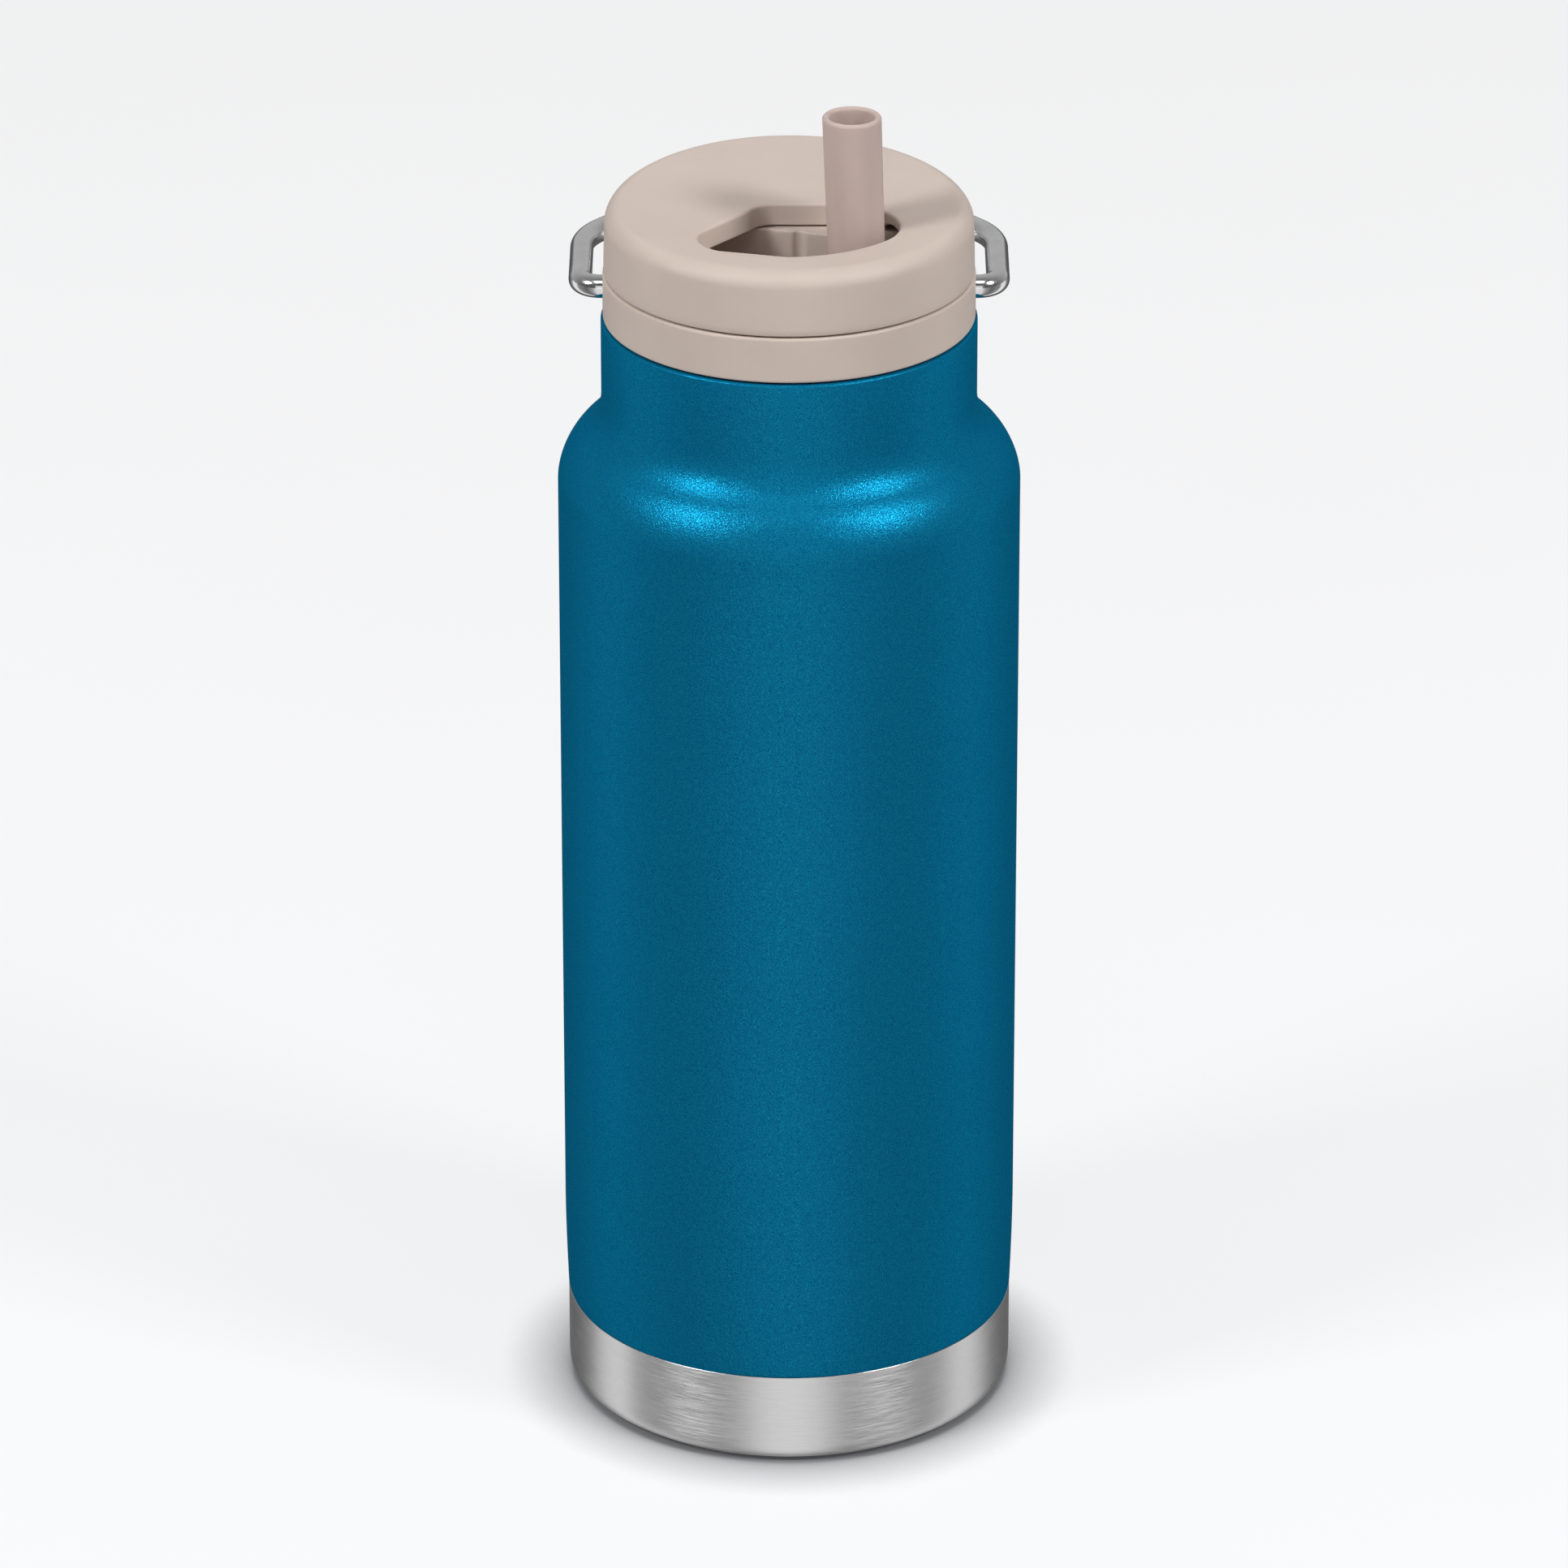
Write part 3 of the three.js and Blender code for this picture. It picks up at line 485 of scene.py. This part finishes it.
def cut(target, vertices, faces):
    """Takes a closed solid out of a piece."""
    cutter = make("cutter", vertices, faces, target.data.materials[0])
    modifier = target.modifiers.new("cut", "BOOLEAN")
    modifier.operation = "DIFFERENCE"
    modifier.solver = "EXACT"
    modifier.object = cutter
    apply_modifiers(target)
    bpy.data.objects.remove(cutter)


def cylinder(radius, low_z, high_z, sides, at=(0, 0)):
    """An upright cylinder as vertices and faces."""
    return turned([(0, low_z), (radius, low_z), (radius, high_z), (0, high_z)], sides, closed=False, at=at)


def apply_modifiers(obj):
    graph = bpy.context.evaluated_depsgraph_get()
    mesh = bpy.data.meshes.new_from_object(obj.evaluated_get(graph))
    obj.modifiers.clear()
    obj.data = mesh


def capsule(radius, length, bottom_z, top_z):
    """Straight-sided channel with a half-round bottom and half-round ends, open upwards."""
    along = np.array((math.cos(FOLD_HEADING), math.sin(FOLD_HEADING)))
    side = np.array((-along[1], along[0]))
    start = np.array(TUBE_AT)
    far = start + along * (length - radius)
    end_steps, bottom_steps, draft = 48, 12, 0.15

    def outline(r, z):
        points = []
        for centre, first in ((far, -math.pi / 2), (start, math.pi / 2)):
            for i in range(end_steps + 1):
                a = first + math.pi * i / end_steps
                p = centre + along * r * math.cos(a) + side * r * math.sin(a)
                points.append((p[0], p[1], z))
        return points

    rings = []
    for i in range(bottom_steps):
        a = math.pi / 2 * (1 - i / bottom_steps)
        rings.append(outline(max(radius * math.cos(a), 0.05), bottom_z + radius * (1 - math.sin(a))))
    rings += [outline(radius, bottom_z + radius), outline(radius + draft, top_z)]
    return loft(rings)


def cap_deck():
    """Deck under the dial with the well and trough that take the tube, edges softened as moulded."""
    radius, low_z, over = 29.3, 224.0, DECK_Z + 3
    disc = make("cap_deck", *cylinder(radius, low_z, DECK_Z, 128), cap_plastic)
    cut(disc, *capsule(TROUGH_R, TROUGH_LENGTH, FOLD_Z - TROUGH_R, over))
    well = [(0, WELL_Z), (WELL_R - 0.8, WELL_Z), (WELL_R, WELL_Z + 0.8), (WELL_R, over), (0, over)]
    cut(disc, *turned(well, 96, closed=False, at=TUBE_AT))
    cut(disc, *cylinder(POCKET_R, POCKET_Z, 246, 96, POCKET_AT))
    cut(disc, *cylinder(STRAW_HOLE_R, 220, 230, 64, TUBE_AT))
    groove = [(0, 234.5), (0.9, 235), (1.4, 237), (GROOVE_R, 246), (0, 246)]
    cut(disc, *turned(groove, 48, closed=False, at=GROOVE_AT))
    cut(disc, *cylinder(VENT_HOLE_R, 220, 250, 32, VENT_AT))
    remesh = disc.modifiers.new("even", "REMESH")
    remesh.mode = "VOXEL"
    remesh.voxel_size = 0.34 * MM
    smooth = disc.modifiers.new("soften", "SMOOTH")
    smooth.factor = 0.5
    smooth.iterations = 6
    fewer = disc.modifiers.new("fewer", "DECIMATE")
    fewer.ratio = 0.35
    apply_modifiers(disc)
    disc.data.shade_smooth()
    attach(disc, "cap")
    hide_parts("straw_tray")
    return disc


def cap_ring():
    """Grip ring, the wall the dial turns on, and the flange over the seal."""
    bead_r, bearing_r, low_z, step_z = TURRET_R + 0.5, 29.2, 223.0, 224.6
    profile = rounded([
        (24.4, low_z, 0.3), (24.4, step_z, 0), (28.2, step_z, 0.3), (28.2, 226.6, 0), (34.0, 226.6, 0),
        (34.0, RING_LOW_Z, 0.2), (RING_R, RING_LOW_Z, 0.45), (RING_R, RING_TOP_Z, 0.55),
        (TURRET_R, RING_TOP_Z, 0), (TURRET_R, 236.9, 0), (bead_r, 237.3, 0.1), (TURRET_R, 237.9, 0),
        (TURRET_R, DECK_Z, 0.5), (bearing_r, DECK_Z - 0.05, 0), (bearing_r, 224.9, 0),
        (22.0, 224.9, 0), (22.0, low_z, 0.3),
    ])
    v, f = turned(profile, 256)
    ring = make("cap_ring", v, f, cap_plastic)
    for side in (-1, 1):
        pin = np.array([(side * x, 0, PIVOT_Z) for x in (29.9, 32.0, 34.0, 37.0)])
        cut(ring, *sweep(pin, PIVOT_HOLE_R, 48))
    ring.data.shade_smooth()
    ring.data.set_sharp_from_angle(angle=math.radians(38))
    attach(ring, "cap")
    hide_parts("cap_body")
    return ring


def plug():
    """Hollow threaded plug with a softened bottom edge, holed for the straw and the vent."""
    low, high, r = PLUG_LOW_Z, PLUG_TOP_Z, PLUG_R
    inside_r, inside_z = r - PLUG_WALL, low + PLUG_WALL
    profile = [(0, low), (10, low), (20, low), (r - 0.9, low), (r - 0.35, low + 0.12), (r - 0.08, low + 0.45)]
    profile += [(r, low + 1.0), (r, 212), (r, 218), (r, high), (inside_r, high), (inside_r, inside_z)]
    profile += [(0, inside_z)]
    obj = make("plug", *turned(profile, 192, closed=False), plug_plastic)
    for at, hole_r in ((TUBE_AT, STRAW_HOLE_R), (VENT_AT, 1.7)):
        cut(obj, *cylinder(hole_r, low - 1, low + 3, 64, at))
    obj.data.shade_smooth()
    obj.data.set_sharp_from_angle(angle=math.radians(35))
    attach(obj, "cap")
    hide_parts("plug_cup")
    ridge = thread(r - 0.05, 27.45, 215.7)
    make("plug_thread", *ridge, plug_plastic, "cap", "cap_plastic")


def gasket():
    """Flat silicone ring with rounded edges."""
    inner_r, outer_r, low_z, high_z = 28.6, 33.8, 225.25, 226.55
    profile = rounded([
        (inner_r, low_z, 0.35), (outer_r, low_z, 0.35), (outer_r, high_z, 0.2), (inner_r, high_z, 0.2),
    ])
    v, f = turned(profile, 192)
    return make("gasket", v, f, seal, "seal", "seal_rubber", ["cap_gasket"])


def vent_valve():
    """Umbrella valve: a thin cap under the plug and a barbed stem up through it."""
    low = PLUG_LOW_Z
    profile = [(0, low - 1.2), (1.2, low - 1.19), (2.5, low - 1.08), (3.6, low - 0.82), (4.15, low - 0.5)]
    profile += [(4.2, low - 0.3), (4.15, low - 0.12), (1.5, low - 0.1), (1.5, low + 1.9), (2.2, low + 2.3)]
    profile += [(1.9, low + 3.6), (0.9, low + 5.8), (0, low + 5.8)]
    v, f = turned(profile, 64, closed=False, at=VENT_AT)
    return make("vent_flap", v, f, seal, "cap", "seal_rubber", ["vent_valve"])


# ---------- dial ----------


def opening_outline(count):
    """The drop-shaped opening, evenly sampled: front arc, narrow left end, slanted and straight back."""
    back_y, front, front_r = 1.0, np.array((-0.8, 0.0)), 25.5
    right_r, left_r, corner_r = 10.9, 7.2, 5.5
    left_x, corner_x, span_steps = -9.9, -2.6, 400
    reach = front_r - right_r
    y = back_y - right_r
    right = np.array((front[0] + math.sqrt(reach**2 - y**2), y))
    reach = front_r - left_r
    left = np.array((left_x, -math.sqrt(reach**2 - (left_x - front[0]) ** 2)))
    corner = np.array((corner_x, back_y - corner_r))
    gap = corner - left
    slant = math.atan2(gap[1], gap[0]) + math.pi / 2 + math.asin((left_r - corner_r) / np.linalg.norm(gap))
    at_right = math.atan2(*(right - front)[::-1])
    at_left = math.atan2(*(left - front)[::-1])
    spans = [
        (right, right_r, math.pi / 2, at_right),
        (front, front_r, at_right, at_left),
        (left, left_r, at_left, slant - TAU),
        (corner, corner_r, slant, math.pi / 2),
    ]
    dense = []
    for centre, r, a, b in spans:
        for t in np.linspace(0, 1, span_steps, endpoint=False):
            angle = a + (b - a) * t
            dense.append(centre + r * np.array((math.cos(angle), math.sin(angle))))
    dense = np.array(dense + [dense[0]])
    length = np.concatenate([[0], np.cumsum(np.linalg.norm(np.diff(dense, axis=0), axis=1))])
    at = np.linspace(0, length[-1], count, endpoint=False)
    return np.stack([np.interp(at, length, dense[:, 0]), np.interp(at, length, dense[:, 1])], axis=1)


def rise(y):
    """How far the dial's top climbs towards the back, with a soft crease across the middle."""
    slope, crease_y, softness = 0.031, -1.5, 16
    s = y - crease_y
    return slope * (s + np.sqrt(s * s + softness))


def offset(loop, distance):
    """A closed outline moved outwards by a distance."""
    ahead = np.roll(loop, -1, axis=0) - np.roll(loop, 1, axis=0)
    ahead /= np.linalg.norm(ahead, axis=1)[:, None]
    return loop + distance * np.stack([-ahead[:, 1], ahead[:, 0]], axis=1)


def dial():
    """Turning dial, one closed loft: skirt, rounded rim, gently folded top, opening, underside, bore."""
    count, fillet_steps, wall_steps, top_steps, edge_r = 512, 14, 8, 26, 0.6
    loop = opening_outline(count)
    ray = loop - np.array((-1.0, -9.0))
    ray /= np.linalg.norm(ray, axis=1)[:, None]

    def circle(r, z, lifted=0.0):
        """Where each ray from inside the opening meets a circle round the axis."""
        b = (loop * ray).sum(1)
        t = -b + np.sqrt(b * b - (loop * loop).sum(1) + r * r)
        p = loop + ray * t[:, None]
        return np.column_stack([p, z + lifted * rise(p[:, 1])])

    def inner(distance, z, lifted=0.0):
        """The opening's outline moved outwards."""
        p = offset(loop, distance)
        return np.column_stack([p, z + lifted * rise(p[:, 1])])

    draft = 0.2
    top_r = DIAL_R - draft - DIAL_FILLET
    fillet_z = DIAL_TOP_Z - DIAL_FILLET
    skirt_z = DIAL_LOW_Z + 0.4
    rings = [circle(32.9, 236.3), circle(32.9, 235.2), circle(33.2, 234.85), circle(33.6, DIAL_LOW_Z)]
    rings += [circle(34.6, DIAL_LOW_Z), circle(35.0, DIAL_LOW_Z + 0.02), circle(35.28, DIAL_LOW_Z + 0.12)]
    rings += [circle(DIAL_R, DIAL_LOW_Z + 0.38)]
    for i in range(wall_steps):
        t = (i + 1) / wall_steps
        rings.append(circle(DIAL_R - draft * t, skirt_z + (fillet_z - DIAL_LOW_Z - 0.4) * t, t))
    for r, z in arc(top_r, fillet_z, DIAL_FILLET, 6, 90, fillet_steps):
        rings.append(circle(r, z, 1.0))
    rim, edge = circle(top_r - 0.6, DIAL_TOP_Z, 1.0), inner(0.75, DIAL_TOP_Z, 1.0)
    for i in range(top_steps):
        t = i / (top_steps - 1)
        flat = rim[:, :2] * (1 - t) + edge[:, :2] * t
        rings.append(np.column_stack([flat, DIAL_TOP_Z + rise(flat[:, 1])]))
    for a in np.linspace(15, 90, 6):
        a = math.radians(a)
        rings.append(inner(0.65 - edge_r * math.sin(a), DIAL_TOP_Z - edge_r * (1 - math.cos(a)), 1.0))
    # the underside is hollowed at the opening's right end
    hollow, hollow_from, hollow_over = 2.3, 15.0, 5.0
    ease = np.clip((loop[:, 0] - hollow_from) / hollow_over, 0, 1)
    under_z = DIAL_UNDER_Z + hollow * ease * ease * (3 - 2 * ease)
    wall_z = DIAL_TOP_Z - edge_r
    for t in (0.3, 0.6, 0.85, 0.96):
        rings.append(inner(0.04 - 0.04 * t, wall_z + (under_z - wall_z) * t, 1 - t))
    rings += [inner(0.03, under_z + 0.05), inner(0.15, under_z)]
    under = circle(32.6, DIAL_UNDER_Z)
    for t in (0.1, 0.5, 0.9, 1.0):
        rings.append(inner(0.3, under_z) * (1 - t) + under * t)
    rings += [circle(33.2, DIAL_UNDER_Z - 0.1), circle(33.5, DIAL_UNDER_Z - 0.6)]
    rings += [circle(33.5, 238), circle(33.5, 236.6)]
    v, f = loft(rings, closed=True)
    return make("dial_cover", v, f, cap_plastic, "dial", "cap_plastic", ["dial"])


# ---------- drinking tube ----------


def spout():
    """Soft mouthpiece in one piece, from its flange in the well to the rounded lip."""
    x, y = TUBE_AT
    lip = (TUBE_R - TUBE_BORE_R) / 2
    top = TUBE_LENGTH
    foot_r, flare = 5.4, 0.2
    # heights here are over the fold
    outside = [(4.45, -28.8), (5.7, -28.8), (6.9, -27.4), (6.9, -25.1), (5.95, -25.05), (5.95, -6.75)]
    outside += [(7.7, -6.75), (7.8, -6.5), (7.7, -6.0), (7.4, -5.9)]
    outside += [(6.3, -5.6), (5.6, -5.0), (foot_r, -4.2), (5.38, -3.0)]
    for z in np.linspace(-2, top - lip - 1, 40):
        outside.append((foot_r + flare * max(0, min(1, z / top)) ** 1.2, z))
    outside += arc(TUBE_R - lip, top - lip, lip, 0, 180, 12)
    inside = [(TUBE_BORE_R, z) for z in np.linspace(top - lip - 1, -2, 36)]
    inside += [(4.2, -4), (3.95, -6), (3.65, -14.1), (4.45, -14.1)]
    profile = [(r, z + FOLD_Z) for r, z in outside + inside]
    v, f = turned(profile, 96, at=(x, y))
    # the tube leans a little to the left above the fold
    lean = np.clip((v[:, 2] - FOLD_Z + 2) / 4, 0, 1)
    v[:, 0] -= lean * (v[:, 2] - FOLD_Z) * math.tan(TUBE_LEAN)
    obj = make("spout", v, f, silicone, None, "silicone")
    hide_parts("mouthpiece_base", "mouthpiece_tube")
    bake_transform(obj)
    return obj


def straw():
    """Plain straw with rounded ends, from the mouthpiece down to the vessel's floor."""
    profile = rounded([
        (STRAW_BORE_R, STRAW_LOW_Z, 0.2), (STRAW_R, STRAW_LOW_Z, 0.2),
        (STRAW_R, STRAW_TOP_Z, 0.2), (STRAW_BORE_R, STRAW_TOP_Z, 0.2),
    ])
    v, f = turned(profile, 64, at=TUBE_AT)
    return make("straw", v, f, straw_plastic, "cap", "straw_plastic", ["lower_straw"])


# ---------- handle ----------


def bow(cx, cy, r, start, end, steps):
    """Points on a level circle, angles in radians."""
    angles = [start + (end - start) * i / steps for i in range(steps + 1)]
    return [(cx + r * math.cos(a), cy + r * math.sin(a)) for a in angles]


def handle():
    """Bent rod: pivot end, tight bend, straight arm, corner, wide grip arc, mirrored."""
    half, bend_r, straight, corner_r, turn = 39.9, 4.0, 20.0, 15.0, math.radians(38)
    corner_x = half - corner_r
    grip_r = corner_r + corner_x / math.cos(turn)
    grip_y = straight - corner_x * math.tan(turn)
    right = [(x, 0) for x in (30.3, 31.5, 33.0, 34.5)]
    right += bow(half - bend_r, bend_r, bend_r, -math.pi / 2, 0, 16)
    right += [(half, y) for y in (7, 10, 14, 17)]
    right += bow(corner_x, straight, corner_r, 0, turn, 14)[:-1]
    right += bow(0, grip_y, grip_r, turn, math.pi / 2, 32)
    line = right + [(-x, y) for x, y in right[-2::-1]]
    v, f = sweep([(x, y, PIVOT_Z) for x, y in line], ROD_R, 40)
    return make("rod_handle", v, f, rod_steel, "handle", "polished_steel", ["bail_handle"])


outer_shell()
foot_cup()
foot_disc()
inner_vessel()
vessel_floor()
cap_deck()
cap_ring()
plug()
gasket()
vent_valve()
dial()
spout()
straw()
handle()

for node, material in {
    "vacuum_seal": solder,
    "getter": solder,
    "plug_insulation": foam,
    "dial_glide_ring": straw_plastic,
}.items():
    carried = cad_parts[node]
    carried.data.materials.clear()
    carried.data.materials.append(material)

# ---------- floor, light, camera ----------

FLOOR_GLOW, FLOOR_HALF, FLOOR_DROP = 0.72, 6000, 0.02
# how far the painted contact shadow on the floor reaches round the foot, in metres
PAINTED_SHADOW_REACH = 0.023
AIM = Vector((0, 0, 0.13))


def floor():
    """Pale sweep that glows by itself. Its glow is dimmed where the bottle closes it in, a painted contact
    shadow round the foot, so cast shadows stay faint.
    """
    m = Mat("floor_paper", Roughness=0.9)
    m.shader.inputs["Specular IOR Level"].default_value = 0.0
    drift = m.spread(m.noise(6, 2.0), 0.3, 0.7, 0, 1)
    m.put(m.mix(drift, colour(133, 134, 137), colour(135, 136, 139)), m.shader.inputs["Base Color"])
    m.shader.inputs["Emission Color"].default_value = (1, 1, 1, 1)
    # painted contact shadow: ambient occlusion dims the floor's own glow near the bottle
    shade = m.add("ShaderNodeAmbientOcclusion")
    shade.inputs["Distance"].default_value = PAINTED_SHADOW_REACH
    glow_with_painted_shadow = m.spread(shade.outputs["AO"], 0.42, 0.88, 0.0, FLOOR_GLOW)
    m.put(glow_with_painted_shadow, m.shader.inputs["Emission Strength"])
    corners = ((-1, -1), (1, -1), (1, 1), (-1, 1))
    v = [(x * FLOOR_HALF, y * FLOOR_HALF, -FLOOR_DROP) for x, y in corners]
    obj = make("floor", v, [(0, 1, 2, 3)], m.material)
    obj.visible_glossy = False
    obj.visible_diffuse = False


def softbox(name, azimuth, elevation, distance, width, height, power):
    """An area light aimed at the middle of the bottle. Azimuth 0 is the camera's side, + to the right."""
    light = bpy.data.lights.new(name, "AREA")
    light.shape = "RECTANGLE"
    light.size = width
    light.size_y = height
    light.energy = power
    obj = bpy.data.objects.new(name, light)
    bpy.context.scene.collection.objects.link(obj)
    a, e = math.radians(azimuth), math.radians(elevation)
    away = Vector((math.sin(a) * math.cos(e), -math.cos(a) * math.cos(e), math.sin(e)))
    obj.location = AIM + distance * away
    obj.rotation_euler = (AIM - obj.location).to_track_quat("-Z", "Y").to_euler()
    return obj


floor()
for side, name in ((-1, "left"), (1, "right")):
    softbox("key_" + name, side * 58, 40, 1.9, 0.44, 0.44, 17)
    # the sheen lights deepen highlights and add no diffuse light
    sheen = softbox("sheen_" + name, side * 55, 42, 1.9, 0.30, 0.30, 14)
    sheen.visible_diffuse = False
softbox("fill", 0, 14, 2.2, 1.5, 1.0, 3.8)
softbox("top", 0, 64, 2.2, 1.6, 1.0, 7.8)


def studio_world():
    """Dim grey room that the camera sees as a plain backdrop. Bright cards low round it band the steel."""
    world = bpy.data.worlds.new("studio")
    bpy.context.scene.world = world
    world.use_nodes = True
    nodes, links = world.node_tree.nodes, world.node_tree.links

    def math_node(operation, *values):
        node = nodes.new("ShaderNodeMath")
        node.operation = operation
        for socket, value in zip(node.inputs, values):
            if isinstance(value, bpy.types.NodeSocket):
                links.new(value, socket)
            else:
                socket.default_value = value
        return node.outputs[0]

    def spread(value, low, high, to_low, to_high):
        node = nodes.new("ShaderNodeMapRange")
        links.new(value, node.inputs["Value"])
        for key, v in zip(("From Min", "From Max", "To Min", "To Max"), (low, high, to_low, to_high)):
            node.inputs[key].default_value = v
        return node.outputs["Result"]

    split = nodes.new("ShaderNodeSeparateXYZ")
    links.new(nodes.new("ShaderNodeTexCoord").outputs["Generated"], split.inputs[0])
    across, away, up = split.outputs
    heading = math_node("ABSOLUTE", math_node("ARCTAN2", across, math_node("MULTIPLY", away, -1.0)))
    ramp = nodes.new("ShaderNodeValToRGB")
    links.new(math_node("DIVIDE", heading, math.pi), ramp.inputs[0])
    ramp.color_ramp.interpolation = "EASE"
    # brightness of the cards from the camera's side (0) round to straight behind the bottle (1)
    stops = (
        (0.0, 0.96), (0.08, 0.92), (0.18, 0.36), (0.29, 0.16), (0.40, 0.26), (0.48, 0.31),
        (0.52, 1.0), (0.63, 1.0), (0.67, 0.3), (0.80, 0.11), (1.0, 0.11),
    )
    for i, (place, value) in enumerate(stops):
        stop = ramp.color_ramp.elements[i] if i < 2 else ramp.color_ramp.elements.new(place)
        stop.position = place
        stop.color = (value, value, value, 1)
    cards = math_node("MULTIPLY", spread(up, 0.08, -0.05, 0.0, 1.0), ramp.outputs["Color"])
    back = spread(away, -0.4, 0.8, 0.10, 0.50)
    upper = math_node("MULTIPLY", back, spread(up, -0.05, 0.08, 0.0, 1.0))
    room = nodes["Background"]
    room.inputs["Color"].default_value = (1, 1, 1, 1)
    links.new(math_node("ADD", upper, cards), room.inputs["Strength"])
    backdrop = nodes.new("ShaderNodeBackground")
    backdrop.inputs["Color"].default_value = colour(226, 226, 227)
    seen = nodes.new("ShaderNodeMixShader")
    links.new(nodes.new("ShaderNodeLightPath").outputs["Is Camera Ray"], seen.inputs[0])
    links.new(room.outputs[0], seen.inputs[1])
    links.new(backdrop.outputs[0], seen.inputs[2])
    links.new(seen.outputs[0], nodes["World Output"].inputs["Surface"])


studio_world()

camera_data = bpy.data.cameras.new("camera")
camera_data.sensor_width = 36
camera_data.lens = 223.4
camera_data.shift_x = -0.00328
camera_data.clip_end = 20
camera = bpy.data.objects.new("camera", camera_data)
bpy.context.scene.collection.objects.link(camera)
VIEW_ELEVATION, VIEW_DISTANCE, VIEW_HEIGHT = math.radians(24.589), 1.898126, 0.12676
camera.location = (
    0,
    -VIEW_DISTANCE * math.cos(VIEW_ELEVATION),
    VIEW_HEIGHT + VIEW_DISTANCE * math.sin(VIEW_ELEVATION),
)
camera.rotation_euler = (math.pi / 2 - VIEW_ELEVATION, 0, 0)
bpy.context.scene.camera = camera
bpy.context.scene.view_settings.view_transform = "Standard"
